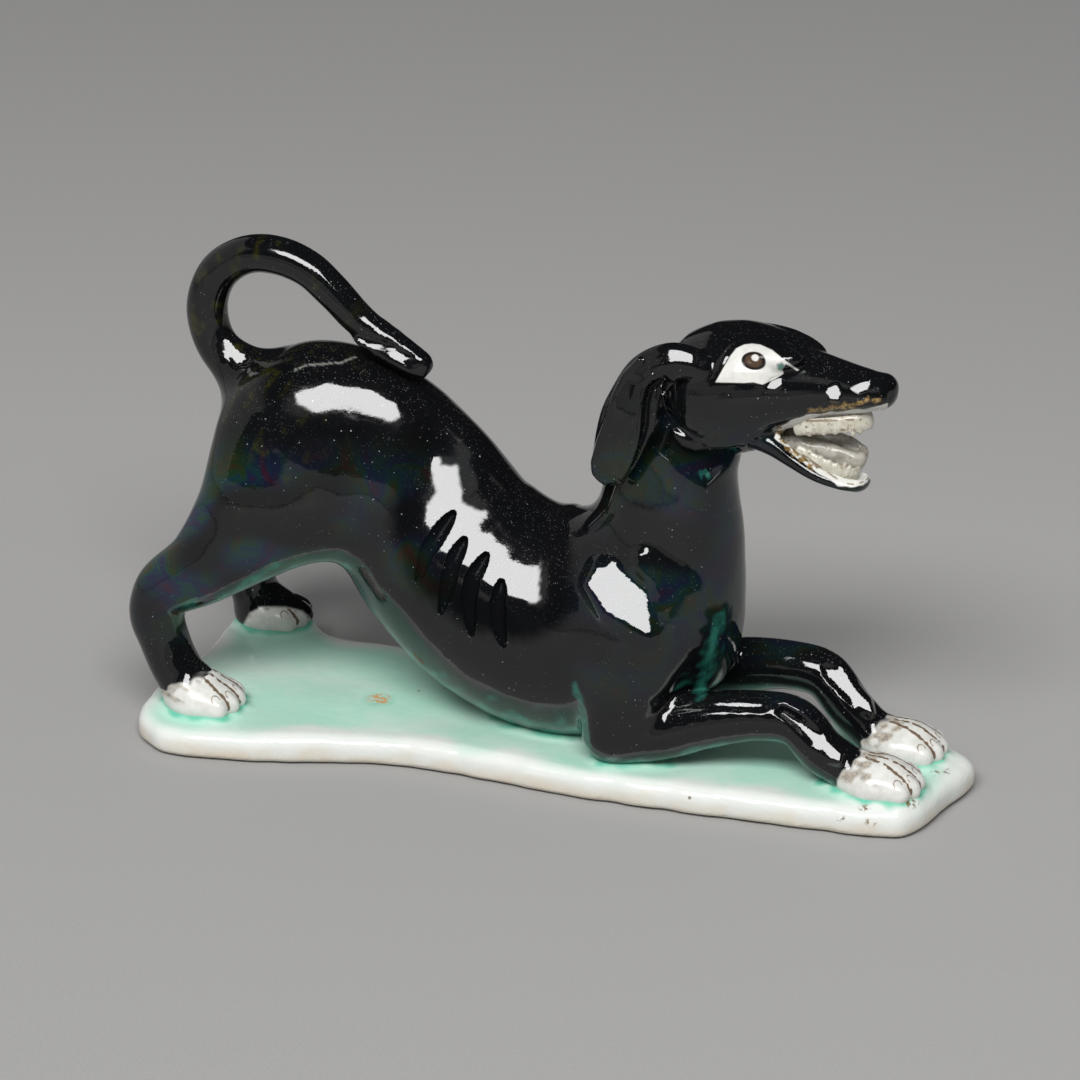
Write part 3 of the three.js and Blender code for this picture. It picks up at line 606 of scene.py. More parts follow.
# Ridges and furrows: line, width in pixels, rise in millimetres
JOWL = [(671, 430), (676, 439), (683, 445), (694, 448.5), (719, 445), (738, 442), (760, 440)], 6, 0.55
COLLAR = [(655, 449), (669.5, 462), (677.9, 473), (694.6, 484), (705, 489)], 2.2, 0.2
NAPE = [(619, 484), (615, 495), (610, 508), (600, 519), (590, 529)], 2.2, 0.3
EAR_FOLDS = [
    ([(640, 360), (625, 375), (615, 395), (608, 418), (600, 440), (594, 462), (595, 476), (603, 483),
      (614, 480)], 2.4, 0.45),
    ([(653, 375), (643, 392), (640, 415), (638, 440), (632, 461), (621, 477.5)], 2.4, 0.4),
    ([(652, 370), (662, 366), (676, 364), (690, 367), (700, 371)], 6.0, 0.3),
    ([(632, 385), (624, 410), (618, 435), (610, 460), (607, 474)], 9.0, -0.4),
    ([(664, 380), (650, 388), (646, 402), (645, 425), (641, 447), (634, 467)], 3.0, -0.9),
    ([(662, 384), (657, 400), (653, 423), (648.6, 446), (642, 466)], 2.0, 0.3),
    ([(668, 386), (667, 410), (664, 432), (657, 452), (648, 470)], 4.0, -1.3)]

# Where the near skin mirrors the lamp
FLANK = [
    (437, 462), (452, 468), (460, 503), (482, 510), (516, 538), (541, 556), (540, 582), (534, 598),
    (505, 590), (446, 550), (434, 512), (438, 490)]
SHOULDER = [(593, 584), (601, 568), (614, 570), (641, 592), (645, 612), (649, 634), (629, 622), (610, 612)]
FOREARM = [
    (655, 702), (668, 696), (690, 699), (715, 698), (740, 697), (763, 701), (763, 706), (715, 705),
    (690, 706), (660, 708)]
LEDGE = [(357, 339), (368, 339), (390, 346), (412, 358), (414, 363), (405, 360), (380, 351), (362, 345)]
TAIL_ROOT = [(222, 343), (228, 341), (237, 350), (245, 354), (246, 360), (237, 363), (233, 355)]
WRIST = [(783, 711), (802, 721), (822, 737), (839, 754), (838, 761), (830, 759), (811, 738), (794, 720)]
FAR_WRIST = [(828, 667), (842, 670), (846, 678), (866, 702), (869, 713), (863, 709), (842, 687), (830, 674)]
MUZZLE_SPOTS = [
    [(829, 388), (836, 385), (840, 392), (838, 400), (831, 399), (827, 393)],
    [(852, 389), (862, 383), (870, 381), (866, 389), (858, 392)],
    [(768, 388), (772, 380), (779, 378), (781, 384), (775, 389)]]

# Where the chest stays dark, and the way it faces there
UNLIT = [(641, 557), (660, 552), (677, 568), (674, 590), (658, 602), (650, 590)]
UNLIT_FACING = (0.39, -0.82, 0.416)

# How the skin is pressed there: outline, share, reach in pixels, the y that ends it, and any facing
PRESSES = [
    (FLANK, 0.6, 50, 0), (UNLIT, 0.7, 14, 0, UNLIT_FACING), (SHOULDER, 0.8, 18, 0), (FOREARM, 0.3, 8, 5),
    (LEDGE, 0.8, 4, 5), (TAIL_ROOT, 0.7, 7, 5), (WRIST, 0.7, 8, 5), (FAR_WRIST, 0.7, 8, 24),
    *((spot, 0.9, 4, 5) for spot in MUZZLE_SPOTS)]

# The lights on flank and hip, with duller glaze round them
LIGHTS = [
    [(431, 465), (434, 456), (438, 458), (440, 466), (455, 467), (459, 490), (460, 504), (471, 508),
     (480, 514), (486, 512), (500, 531), (520, 545), (539, 557), (537, 600), (520, 606), (480, 596),
     (440, 566), (425, 530), (427, 508), (437, 494), (435, 475)],
    [(295, 389), (305, 390), (322, 382), (335, 384), (370, 387), (385, 395), (407, 404), (402, 412),
     (395, 420), (380, 421), (360, 417), (340, 411), (310, 411), (299, 400)]]

# The hip's change of slope, by the pixels below a leaning line, between the pixels where it starts and ends
HIP_AT, HIP_LEAN, HIP_SIDES = (352, 404), 0.12, (215, 262, 430, 480)
HIP_STEPS = [-62, -50, -34, -22, -14, 16, 45, 75, 130, 197]
HIP_SLOPES = [0, 0.14, 0.14, -0.12, -0.24, -0.14, -0.03, 0.055, 0.055, 0]

# Heights of the other relief in millimetres
RIB_DEPTH, RECESS_DEPTH, NOSTRIL_DEPTH = 0.95, 1.3, 0.45
BROW_RISE, EYEBALL_RISE, PUPIL_RISE = 0.2, 0.35, 0.14
NOSTRIL_AT, NOSTRIL_RADIUS = (28.4, 1.55, 7.1), 0.6

# Where relief and paint start and end, in millimetres: heights, and places along the figure and the head
TRUNK_LOW, HEAD_LOW, CHEST_TOP, CHEST_BACK = 15, 44, 40, -4
FACE_FROM, CHEEK_LOW, MOUTH_FROM, GILDED_TO = 2, 4, 8, 23
PAW_REACH = (9, 8, 9)

# How far skin must turn to the camera to be seen in the picture, and how deep under it its owner is read
SEEN = 0.05
OWNER_DEPTH = 0.2


def press(points, normals, corners, share, reach, inner, facing=None):
    """Flattens the near skin in an outline by a share, and tilts it to a facing or else to mirror the lamp.

    The change fades out over so many pixels round the outline, and before the skin's y reaches inner.
    """
    points = points.copy()
    pixels = in_picture(points)
    low, high = np.min(corners, axis=0) - reach, np.max(corners, axis=0) + reach
    boxed = ((pixels > low) & (pixels < high)).all(axis=1)
    part = np.flatnonzero(boxed & (points[:, 1] < inner) & (normals @ VIEW_BACK > SEEN))
    rows, face = points[part], normals[part]
    weight = smoothstep(reach, 0, outline_distance(pixels[part], corners))
    weight *= smoothstep(SEEN, 0.3, face @ VIEW_BACK) * smoothstep(inner, inner - 4, rows[:, 1])
    core = weight > 0.9
    centre, mean = rows[core].mean(axis=0), unit(face[core].mean(axis=0))
    wanted = unit(LAMP_AT - centre) + unit(CAMERA_AT - centre) if facing is None else np.array(facing)
    tilt = unit(wanted) - mean
    height = (rows - centre) @ mean
    weight *= smoothstep(3, 1.5, np.abs(height))
    move = share * height + (rows - centre) @ (tilt - (tilt @ mean) * mean)
    points[part] = rows - (weight * move)[:, None] * mean
    return points


def owned(owners, *names):
    """Which of the owners are the named pieces."""
    return np.isin(owners, [PIECES.index(name) for name in names])


def bend(points, normals):
    """Changes the slope of the near hip, so that it mirrors the lamp in a narrow band."""
    rows = np.arange(-70.0, 210)
    profile = np.cumsum(np.interp(rows, HIP_STEPS, HIP_SLOPES)) / (FOCAL_PIXELS / CAMERA_DISTANCE)
    x, y = in_picture(points).T
    below = y - HIP_AT[1] - HIP_LEAN * (x - HIP_AT[0])
    side = smoothstep(*HIP_SIDES[:2], x) * smoothstep(*HIP_SIDES[:1:-1], x) * smoothstep(0, -4, points[:, 1])
    move = side * np.interp(below, rows, profile) * smoothstep(SEEN, 0.6, normals @ VIEW_BACK)
    of_hip = owned(skin.owners(points - OWNER_DEPTH * normals), "body", "right_hind_leg")
    return points + normals * (move * of_hip)[:, None]


def covered(grids, places, share):
    """Which places lie well inside one of the grids."""
    return np.any([grid.cover(places) > share for grid in grids], axis=0)


def near_ribs(places, reach):
    """Which places lie within so many pixels of a rib cut, on the near side or, mirrored, on the far side."""
    gaps = [line_distance(in_picture(places * flip), line)[0] for flip in FLIPS for line in RIBS]
    return np.min(gaps, axis=0) < reach


points, triangles = surface_of(skin)
middle = points[triangles].mean(axis=1)
points, triangles = refine(points, triangles, covered(windows, middle, 0.2) | near_ribs(middle, RIB_MARGIN))
points = settle(points)
normals = vertex_normals(points, triangles)
points = bend(points, normals)
for pressing in PRESSES:
    points = press(points, normals, *pressing)
middle = points[triangles].mean(axis=1)
along, across, _ = head_local(middle).T
face = (along > 3) & (np.abs(across) < 10) | (np.abs(across) > 8.4)
fine = covered(windows[:1], middle, 0.4) & face | covered(windows[1:], middle, 0.4)
points, triangles = refine(points, triangles, fine | near_ribs(middle, FINE_RIB_MARGIN))
normals = vertex_normals(points, triangles)
on = partial(owned, skin.owners(points - OWNER_DEPTH * normals))


# Relief and painted marks, worked out for every point of the skin

raise_by = 0.028 * waves(points, 9, 3) + 0.01 * waves(points, 3.5, 5)
raise_by += 0.03 * waves(points, 1.9, 113) * on("tail") * smoothstep(-33, -30, points[:, 0])
# The drip mask holds green drips and runs of glaze, and the green painted on as reflections in the recess
white, brown, gold, dull, ring, drip_and_glint = np.zeros((6, len(points)))


def widen(mask, rows, values):
    """Raises a mask to the values at some rows."""
    mask[rows] = np.maximum(mask[rows], values)


# Ribs and nape on both sides; on the near side the scratch and the duller glaze round the lights
trunk = on("body", "right_hind_leg", "left_hind_leg", "neck") & (points[:, 2] > TRUNK_LOW)
for flip, side in zip(FLIPS, (points[:, 1] <= 0, points[:, 1] > 0)):
    part = np.flatnonzero(side & trunk)
    pixels = in_picture(points[part] * flip)
    seen = (normals[part] * flip) @ VIEW_BACK > SEEN
    for line in RIBS:
        gap, share = line_distance(pixels, line)
        half = RIB_HALF_WIDTH * np.sqrt(np.clip(np.sin(math.pi * (0.06 + 0.9 * share ** 0.85)), 0.02, 1))
        groove = np.clip(1 - (gap / half) ** 2, 0, 1) * seen
        raise_by[part] -= RIB_DEPTH * groove ** 0.7
        widen(dull, part, smoothstep(0.0, 0.25, groove))
    raise_by[part] += ridge(pixels, *NAPE) * seen
    if flip is FLIPS[0]:
        widen(white, part, 0.3 * smoothstep(1.1, 0.4, line_distance(pixels, SCRATCH)[0]) * seen)
        for corners in LIGHTS:
            gap = outline_distance(pixels, corners) + 1.2 * waves(points[part], 1.7, 127)
            widen(dull, part, seen * smoothstep(0, 3.5, gap) * smoothstep(44, 24, gap))

# Relief of head, neck and ears
part = np.flatnonzero(on("head", "lower_jaw", "neck", "right_ear", "left_ear") & (points[:, 2] > HEAD_LOW))
place = points[part]
pixels = in_picture(mirrored_to_near(place))
local = head_local(place)
outward = (normals[part] @ HEAD_SIDE) * np.sign(local[:, 1])
outer = outward > 0
of_head, of_ear = on("head")[part], on("right_ear", "left_ear")[part]
on_face = of_head & (local[:, 0] > FACE_FROM)
cheek = on_face & (outward > 0.15) & (local[:, 2] > CHEEK_LOW)
socket = outline_distance(pixels, SOCKET)
pupil = oval(pixels, PUPIL_AT, PUPIL_SIZE)
in_recess = -outline_distance(pixels, RECESS)
recess = smoothstep(0, 5, in_recess) * smoothstep(*RECESS_FRONT, pixels[:, 0]) * outer
relief = cheek * EYEBALL_RISE * smoothstep(-1, 12, -socket)
gap, share = line_distance(pixels, BROW)
ends = np.sin(math.pi * np.clip(share, 0.03, 0.97)) ** 0.5
relief += cheek * BROW_RISE * np.exp(-(gap / BROW_WIDTH) ** 2) * ends
relief += cheek * PUPIL_RISE * smoothstep(1.1, 0.4, pupil)
relief -= RECESS_DEPTH * recess * ~of_ear
relief += ridge(pixels, *JOWL) * of_head * outer * (in_recess < 0)
relief += ridge(pixels, *COLLAR) * on("neck")[part] * outer
for fold in EAR_FOLDS:
    relief += of_ear * smoothstep(0.05, 0.4, outward) * ridge(pixels, *fold)
nostril = np.linalg.norm(np.abs(local) - NOSTRIL_AT, axis=1)
relief -= on_face * NOSTRIL_DEPTH * np.exp(-(nostril / NOSTRIL_RADIUS) ** 2)
raise_by[part] += relief

# Glazes of the head: recess and muzzle, eye with its pupil and a painted highlight on it, mouth, gilding
widen(dull, part, smoothstep(-3, 2, in_recess) * ~of_ear * outer)
clear = np.min([outline_distance(pixels, spot) for spot in MUZZLE_SPOTS], axis=0)
widen(dull, part, on_face * smoothstep(5, -1, outline_distance(pixels, MUZZLE)) * smoothstep(0.5, 2.5, clear))
in_eye = np.zeros(len(points), bool)
in_eye[part] = cheek & (socket < 3)
widen(white, part, cheek * smoothstep(0.5, -0.5, outline_distance(pixels, EYE)))
widen(brown, part, cheek * smoothstep(1.08, 0.96, pupil))
widen(ring, part, cheek * smoothstep(1.12, 1.0, pupil) * (0.5 + 0.5 * smoothstep(0.62, 0.85, pupil)))
widen(drip_and_glint, part, cheek * 0.9 * smoothstep(5, 1.5, oval(pixels, EYE_CORNER, 1) + waves(place, 0.9, 97)))
# Green painted into the recess: painted reflections
for at, size in PAINTED_GREEN_GLINTS:
    near = oval(pixels, at, size) + 0.3 * waves(place, 1.2, 101)
    widen(drip_and_glint, part, 0.65 * smoothstep(0, 3, in_recess) * outer * smoothstep(1.0, 0.4, near))
# A white dot on the pupil: a painted highlight
painted_glint = cheek * smoothstep(3.6, 2.2, oval(pixels, PAINTED_GLINT_AT, PAINTED_GLINT_SIZE))
widen(white, part, painted_glint)
brown[part] *= 1 - painted_glint
ring[part] *= 1 - painted_glint
mouth = on("head", "lower_jaw")[part] & (local[:, 0] > MOUTH_FROM)
opening = outline_distance(pixels, MOUTH)
widen(white, part, mouth * smoothstep(0.7, -0.7, opening + 0.8 * waves(place, 2.2, 11)))
dash = smoothstep(-0.5, 0.1, waves(place, 1.7, 13))
for line in GUM_LINES:
    drawn = smoothstep(1.6, 0.6, line_distance(pixels, line)[0])
    widen(brown, part, (mouth & (opening < 0)) * drawn * dash * 0.85)
flaked = waves(place, 1.1, 17) + 0.5 * waves(place, 0.5, 137)
gilded = mouth & ((local[:, 1] < 0) | (local[:, 0] < GILDED_TO))
for line, width in GOLD_LINES:
    widen(gold, part, gilded * smoothstep(1.1, 0.4, line_distance(pixels, line)[0] / width + 0.5 * flaked))

# Green runs on the elbow and the chest
part = np.flatnonzero((normals @ VIEW_BACK > -0.1) & (points[:, 0] > CHEST_BACK) & (points[:, 2] < CHEST_TOP))
pixels = in_picture(points[part])
for line, width in GREEN_LINES:
    gap, _ = line_distance(pixels, line)
    painted = smoothstep(1.3, 0.0, gap / width + 0.2 * waves(points[part], 2, 107))
    widen(drip_and_glint, part, 0.7 * painted)
    widen(dull, part, (width > 10) * smoothstep(0, 0.4, painted))

# White paws with brown toe lines, claws and wear
for name, paw in PAWS.items():
    part = np.flatnonzero((np.abs(points - paw) < PAW_REACH).all(axis=1))
    place = points[part]
    rows = place - paw
    ground = rows[:, :2]
    pad = np.linalg.norm((rows - PAD_AT) / PAD_SIZE, axis=1)
    toes = np.min([np.linalg.norm((rows - toe) / TOE_PAINT_SIZE, axis=1) for toe in TOES], axis=0)
    glaze = smoothstep(1.2, 1.1, np.minimum(pad, toes) + 0.06 * waves(place, 2.0, 19))
    glaze = np.maximum(glaze, on(name)[part] & (rows[:, 0] > 0))
    if name == "left_hind_paw":
        shown = smoothstep(2, -2, outline_distance(in_picture(place), FAR_PAW))
        glaze = glaze * np.maximum(shown, smoothstep(0.05, -0.1, normals[part] @ VIEW_BACK))
    widen(white, part, glaze)
    marks = np.zeros(len(rows))
    for a in (TOE_ANGLES[:-1] + TOE_ANGLES[1:]) / 2:
        start = TOE_LINE_FROM[0], TOE_LINE_FROM[1] * math.sin(a)
        end = TOE_FAN_AT + TOE_LINE_TO[0] * math.cos(a), TOE_LINE_TO[1] * math.sin(a)
        gap = line_distance(ground, (start, end))[0] + 0.1 * waves(place, 0.9, 131)
        marks = np.maximum(marks, smoothstep(0.44, 0.16, gap))
    for toe, a in zip(TOES, 0.8 * TOE_ANGLES):
        ahead = np.array([math.cos(a), math.sin(a)])
        tip = toe[:2] + CLAW_AHEAD * ahead
        claw = smoothstep(0.17, 0.07, np.abs(oval(ground, tip, 1) - CLAW_RADIUS))
        marks = np.maximum(marks, 0.9 * claw * ((ground - tip) @ ahead < 0.2))
    marks *= smoothstep(-1.6, -0.8, waves(place, 1.6, 23)) * (rows[:, 2] > 1.2)
    worn = smoothstep(-0.8, 0.9, 0.7 * waves(place, 2.2, 29) - 0.35 * (rows[:, 0] + 1.2))
    widen(brown, part, glaze * np.maximum(0.95 * marks, 0.78 * worn * smoothstep(1.2, 3, rows[:, 2])))

points = points + normals * raise_by[:, None]
normals = vertex_normals(points, triangles)

# Green on faces turned down and pooled by the slab, olive on the rump, painted sheen on hind part and chest
x, height = points[:, 0], points[:, 2] - SLAB_TOP
green = smoothstep(-0.15, -0.75, normals[:, 2]) * smoothstep(60, 35, height)
green *= 0.6 + 0.4 * waves(points, 4, 37)
green = np.maximum(green, smoothstep(1.8, 0.0, height + 0.7 * waves(points, 3, 41)))
green = np.maximum(green * (1 - white), drip_and_glint)
white = white * (1 - drip_and_glint)
rump = smoothstep(-24, -44, x) * smoothstep(26, 46, height)
olive = rump * smoothstep(0.35, 1.1, waves(points * (1, 1, 0.5), 2.6, 43) + 0.5 * waves(points, 9, 47))
# Rainbow colours painted on the hind part and chest: a painted iridescent sheen
painted_sheen = smoothstep(-10, -34, x) * smoothstep(46, 34, height)
painted_sheen += 0.42 * smoothstep(4, 12, x) * smoothstep(58, 46, height)
painted_sheen *= smoothstep(-0.7, 0.6, waves(points, 11, 31)) * smoothstep(9, 17, height)
paint = np.stack([white, brown, gold, dull], axis=1)
tint = np.stack([np.clip(green, 0, 1), olive, painted_sheen, ring], axis=1)

owner = skin.owners(points[triangles].mean(axis=1) - 0.25 * normals[triangles[:, 0]])
PIECES += ["right_eye", "left_eye"]
eyes = in_eye[triangles].all(axis=1)
near_eye = points[triangles[eyes, 0], 1] < 0
owner[eyes] = np.where(near_eye, PIECES.index("right_eye"), PIECES.index("left_eye"))


# Materials

class Finish:
    """A node material, built up by short calls."""

    def __init__(self, name):
        self.material = bpy.data.materials.new(name)
        self.material.use_nodes = True
        self.tree = self.material.node_tree
        self.shader = self.tree.nodes["Principled BSDF"]
        self.place = self.node("TexCoord").outputs["Object"]
        self.times, self.plus = partial(self.math, "MULTIPLY"), partial(self.math, "ADD")
        self.less, self.most = partial(self.math, "SUBTRACT"), partial(self.math, "MAXIMUM")

    def feed(self, socket, value):
        """Links a socket to another node's output, or gives it a value."""
        if hasattr(value, "is_linked"):
            self.tree.links.new(value, socket)
        elif isinstance(value, tuple) and socket.type == "RGBA":
            socket.default_value = (*value, 1)
        else:
            socket.default_value = value

    def set(self, **surface):
        """Feeds the surface's inputs, named with underscores for spaces."""
        for name, value in surface.items():
            self.feed(self.shader.inputs[name.replace("_", " ")], value)

    def node(self, kind, inputs={}, **settings):
        """A new node with these settings, and with its inputs fed by name or number."""
        node = self.tree.nodes.new(f"ShaderNode{kind}")
        for name, value in settings.items():
            setattr(node, name, value)
        for key, value in inputs.items():
            self.feed(node.inputs[key], value)
        return node

    def painted(self, name):
        """The four masks of a painted attribute."""
        source = self.node("Attribute", attribute_name=name)
        return (*self.node("SeparateColor", {0: source.outputs["Color"]}).outputs, source.outputs["Alpha"])

    def part(self, vector, axis):
        """One of the three parts of a vector."""
        return self.node("SeparateXYZ", {0: vector}).outputs[axis]

    def noise(self, size, detail=3.0, roughness=0.55, distortion=0.0):
        """Clouds about so many millimetres across, from 0 to 1."""
        return self.node("TexNoise", {
            "Vector": self.place, "Scale": 1 / (size * MM), "Detail": detail, "Roughness": roughness,
            "Distortion": distortion}).outputs["Fac"]

    def specks(self, size, share, spread):
        """Scattered dots: a share of the cells, each so many millimetres wide, has a dot of that spread."""
        cells = self.node("TexVoronoi", {"Vector": self.place, "Scale": 1 / (size * MM)})
        lot, width, _ = self.node("SeparateColor", {0: cells.outputs["Color"]}).outputs
        dot = self.math("LESS_THAN", cells.outputs["Distance"], self.times(width, spread))
        return self.times(self.math("GREATER_THAN", lot, 1 - share), dot)

    def math(self, operation, a, b, clamp=False):
        return self.node("Math", {0: a, 1: b}, operation=operation, use_clamp=clamp).outputs[0]

    def fade(self, value, low, high, bottom=0.0, top=1.0):
        """Turns the range from low to high smoothly into the range from bottom to top."""
        inputs = {0: value, 1: low, 2: high, 3: bottom, 4: top}
        return self.node("MapRange", inputs, interpolation_type="SMOOTHSTEP").outputs[0]

    def mix(self, share, a, b):
        """A colour between two others."""
        node = self.node("Mix", {0: share}, data_type="RGBA")
        for socket, colour in zip([s for s in node.inputs if s.type == "RGBA"], (a, b)):
            self.feed(socket, colour)
        return next(s for s in node.outputs if s.type == "RGBA")

    def ramp(self, value, *stops):
        """A colour looked up between stops (place, colour)."""
        node = self.node("ValToRGB", {0: value})
        elements = node.color_ramp.elements
        while len(elements) < len(stops):
            elements.new(0.5)
        for element, (at, colour) in zip(elements, stops):
            element.position, element.color = at, (*colour, 1)
        return node.outputs[0]

    def bump(self, height, strength, reach, before=None):
        """A normal bent by a height, so many millimetres high, on top of another bump."""
        node = self.node("Bump", {"Strength": strength, "Distance": reach * MM, "Height": height})
        if before is not None:
            self.feed(node.inputs["Normal"], before)
        return node.outputs[0]


def figure_glaze(name):
    """Black glaze with green, olive clouds, a painted iridescent sheen, and the white glaze painted on."""
    f = Finish(name)
    white, brown, gold, dull = f.painted("paint")
    green, olive, painted_sheen, ring = f.painted("tint")
    clouds = f.noise(6, 4, 0.6, 0.6)
    colour = f.mix(clouds, (0.0022, 0.0024, 0.0028), (0.0060, 0.0064, 0.0072))
    # The colours of the painted iridescent sheen
    sheen_colours = f.ramp(f.noise(8, 3, 0.6, 1.2), (0.30, (0.036, 0.010, 0.024)), (0.42, (0.008, 0.016, 0.046)),
                  (0.50, (0.006, 0.034, 0.036)), (0.58, (0.014, 0.034, 0.010)), (0.68, (0.046, 0.018, 0.008)))
    colour = f.mix(f.times(painted_sheen, 0.9), colour, sheen_colours)
    streaks = f.fade(f.noise(1.6, 3, 0.6, 0.8), 0.36, 0.74)
    colour = f.mix(f.times(olive, f.times(streaks, 0.6)), colour, (0.040, 0.038, 0.004))
    pool = f.mix(f.fade(f.noise(2.2, 4, 0.6, 0.4), 0.25, 0.75), (0.003, 0.045, 0.036), (0.035, 0.215, 0.165))
    green_share = f.fade(f.plus(green, f.times(f.less(clouds, 0.5), 0.5)), 0.3, 0.95)
    colour = f.mix(green_share, colour, pool)
    dust = f.most(f.specks(2.4, 0.25, 0.06), f.specks(0.8, 0.2, 0.13))
    dust = f.most(dust, f.times(f.specks(0.5, 0.35, 0.24), f.fade(f.noise(9, 3), 0.4, 0.7, 0.0, 0.35)))
    upward = f.fade(f.part(f.node("NewGeometry").outputs["Normal"], 2), 0.1, 0.8)
    settled = f.times(upward, f.fade(f.noise(6, 3), 0.35, 0.65, 0.05, 0.34))
    dust = f.most(dust, f.times(f.specks(0.3, 0.6, 0.34), settled))
    colour = f.mix(f.times(dust, 0.5), colour, (0.5, 0.5, 0.49))
    slip = f.mix(f.fade(f.noise(1.4, 4, 0.6), 0.3, 0.75), (0.73, 0.725, 0.685), (0.61, 0.61, 0.57))
    colour = f.mix(white, colour, slip)
    rubbed = f.mix(f.fade(f.noise(0.55, 4, 0.7), 0.32, 0.74), (0.07, 0.045, 0.025), (0.47, 0.37, 0.25))
    brushed = f.mix(f.noise(0.8, 3), (0.060, 0.030, 0.016), (0.20, 0.13, 0.075))
    patchy = f.times(f.less(f.noise(0.9, 4, 0.65), 0.5), 0.9)
    shown = f.times(brown, f.fade(f.plus(brown, patchy), 0.15, 0.95))
    colour = f.mix(shown, colour, f.mix(f.fade(brown, 0.78, 0.94), rubbed, brushed))
    gilt = f.ramp(f.noise(0.5, 4, 0.7), (0.34, (0.03, 0.018, 0.008)), (0.5, (0.17, 0.105, 0.035)),
                  (0.66, (0.42, 0.29, 0.115)))
    colour = f.mix(gold, colour, gilt)
    colour = f.mix(ring, colour, (0.012, 0.008, 0.007))
    rough = f.fade(f.noise(3, 4, 0.65), 0.3, 0.8, 0.045, 0.10)
    rough = f.plus(rough, f.times(f.most(white, gold), 0.14))
    gloss = f.less(0.62, f.times(white, 0.26))
    ripple = f.bump(f.noise(3.2, 2, 0.5), 0.5, 0.06)
    f.set(Base_Color=colour, Roughness=f.plus(rough, f.times(dull, 0.1)),
          Specular_IOR_Level=f.less(gloss, f.times(dull, 0.6), True),
          Normal=f.bump(f.noise(0.5, 2), 0.25, 0.02, ripple))
    return f.material


def slab_glaze():
    """Mint glaze, deeper round the feet, thinning to white at the rim and to cream at the foot."""
    f = Finish("green_glaze")
    mint, pool, foot, spot = f.painted("paint")
    uneven = f.less(f.noise(7, 4, 0.6, 0.5), 0.5)
    colour = f.mix(f.noise(2.5, 4), (0.75, 0.76, 0.72), (0.70, 0.735, 0.70))
    colour = f.mix(f.fade(f.plus(mint, f.times(uneven, 0.7)), 0.0, 1.0), colour, (0.42, 0.71, 0.575))
    colour = f.mix(f.fade(f.plus(pool, f.times(uneven, 0.6)), 0.2, 1.0), colour, (0.14, 0.52, 0.37))
    colour = f.mix(f.times(foot, f.fade(f.noise(3, 3), 0.3, 0.7, 0.5, 1.0)), colour, (0.68, 0.61, 0.50))
    colour = f.mix(f.times(spot, f.fade(f.noise(1.0, 3), 0.4, 0.55)), colour, (0.62, 0.33, 0.14))
    chipped = f.times(f.painted("tint")[0], f.fade(f.noise(0.8, 3, 0.6), 0.46, 0.56))
    colour = f.mix(chipped, colour, f.mix(f.noise(0.5, 2), (0.07, 0.04, 0.015), (0.26, 0.17, 0.07)))
    colour = f.mix(f.times(f.specks(3.2, 0.22, 0.10), 0.8), colour, (0.16, 0.12, 0.08))
    ripple = f.bump(f.noise(5, 3), 0.6, 0.25)
    f.set(Base_Color=colour, Roughness=f.fade(f.noise(4, 3), 0.3, 0.7, 0.10, 0.24), Specular_IOR_Level=0.32,
          Normal=f.bump(f.noise(0.7, 2), 0.3, 0.03, ripple))
    return f.material


def mouth_glaze(name, pale, stained):
    f = Finish(name)
    colour = f.mix(f.fade(f.noise(1.1, 4, 0.6), 0.3, 0.75), pale, stained)
    marks = f.times(f.fade(f.noise(0.9, 4, 0.7), 0.56, 0.66), 0.75)
    marks = f.most(marks, f.times(f.painted("paint")[0], 0.85))
    f.set(Base_Color=f.mix(marks, colour, (0.16, 0.10, 0.055)),
          Roughness=f.fade(f.noise(1.5, 3), 0.3, 0.7, 0.16, 0.34), Normal=f.bump(f.noise(0.6, 3), 0.4, 0.06))
    return f.material


black_glaze, white_glaze = figure_glaze("black_glaze"), figure_glaze("white_glaze")
green_glaze = slab_glaze()
tooth_glaze = mouth_glaze("tooth_glaze", (0.60, 0.585, 0.51), (0.42, 0.39, 0.30))
# The tongue takes the teeth's cream glaze painted darker: painted shade inside the mouth
tongue_glaze_painted_shade = mouth_glaze("tongue_glaze_painted_shade", (0.45, 0.43, 0.38), (0.28, 0.255, 0.21))


# Pieces

CAP_DEPTH = {"body": 1.6, "neck": 1.4, "head": 1.0, "lower_jaw": 0.6, "tail": 0.8}
THIN_CAP, OTHER_CAP = 0.35, 0.9


def closed_patch(faces, depth):
    """A patch's points, the points of caps that close each rim that deep inside the skin, and the faces."""
    used, local = np.unique(faces, return_inverse=True)
    local = local.reshape(-1, 3)
    edges = local[:, [[0, 1], [1, 2], [2, 0]]].reshape(-1, 2)
    keys, back = edges @ (len(used), 1), edges @ (1, len(used))
    follow = {}
    for a, b in edges[~np.isin(keys, back)]:
        follow.setdefault(int(a), []).append(int(b))
    extra, corners = [], []
    while follow:
        first = next(iter(follow))
        loop, at = [], first
        while not loop or at != first:
            loop.append(at)
            step = follow[at].pop()
            if not follow[at]:
                del follow[at]
            at = step
        inner = points[used[loop]] - depth * normals[used[loop]]
        start = len(used) + len(extra)
        extra += [*inner, inner.mean(axis=0)]
        hub = start + len(loop)
        for k, a in enumerate(loop):
            n = (k + 1) % len(loop)
            corners += [(loop[n], a, start + k), (loop[n], start + k, start + n), (start + n, start + k, hub)]
    faces = np.vstack([local, np.array(corners, int).reshape(-1, 3)])
    return used, np.array(extra).reshape(-1, 3), faces


def linked(name, data):
    thing = bpy.data.objects.new(name, data)
    bpy.context.scene.collection.objects.link(thing)
    return thing


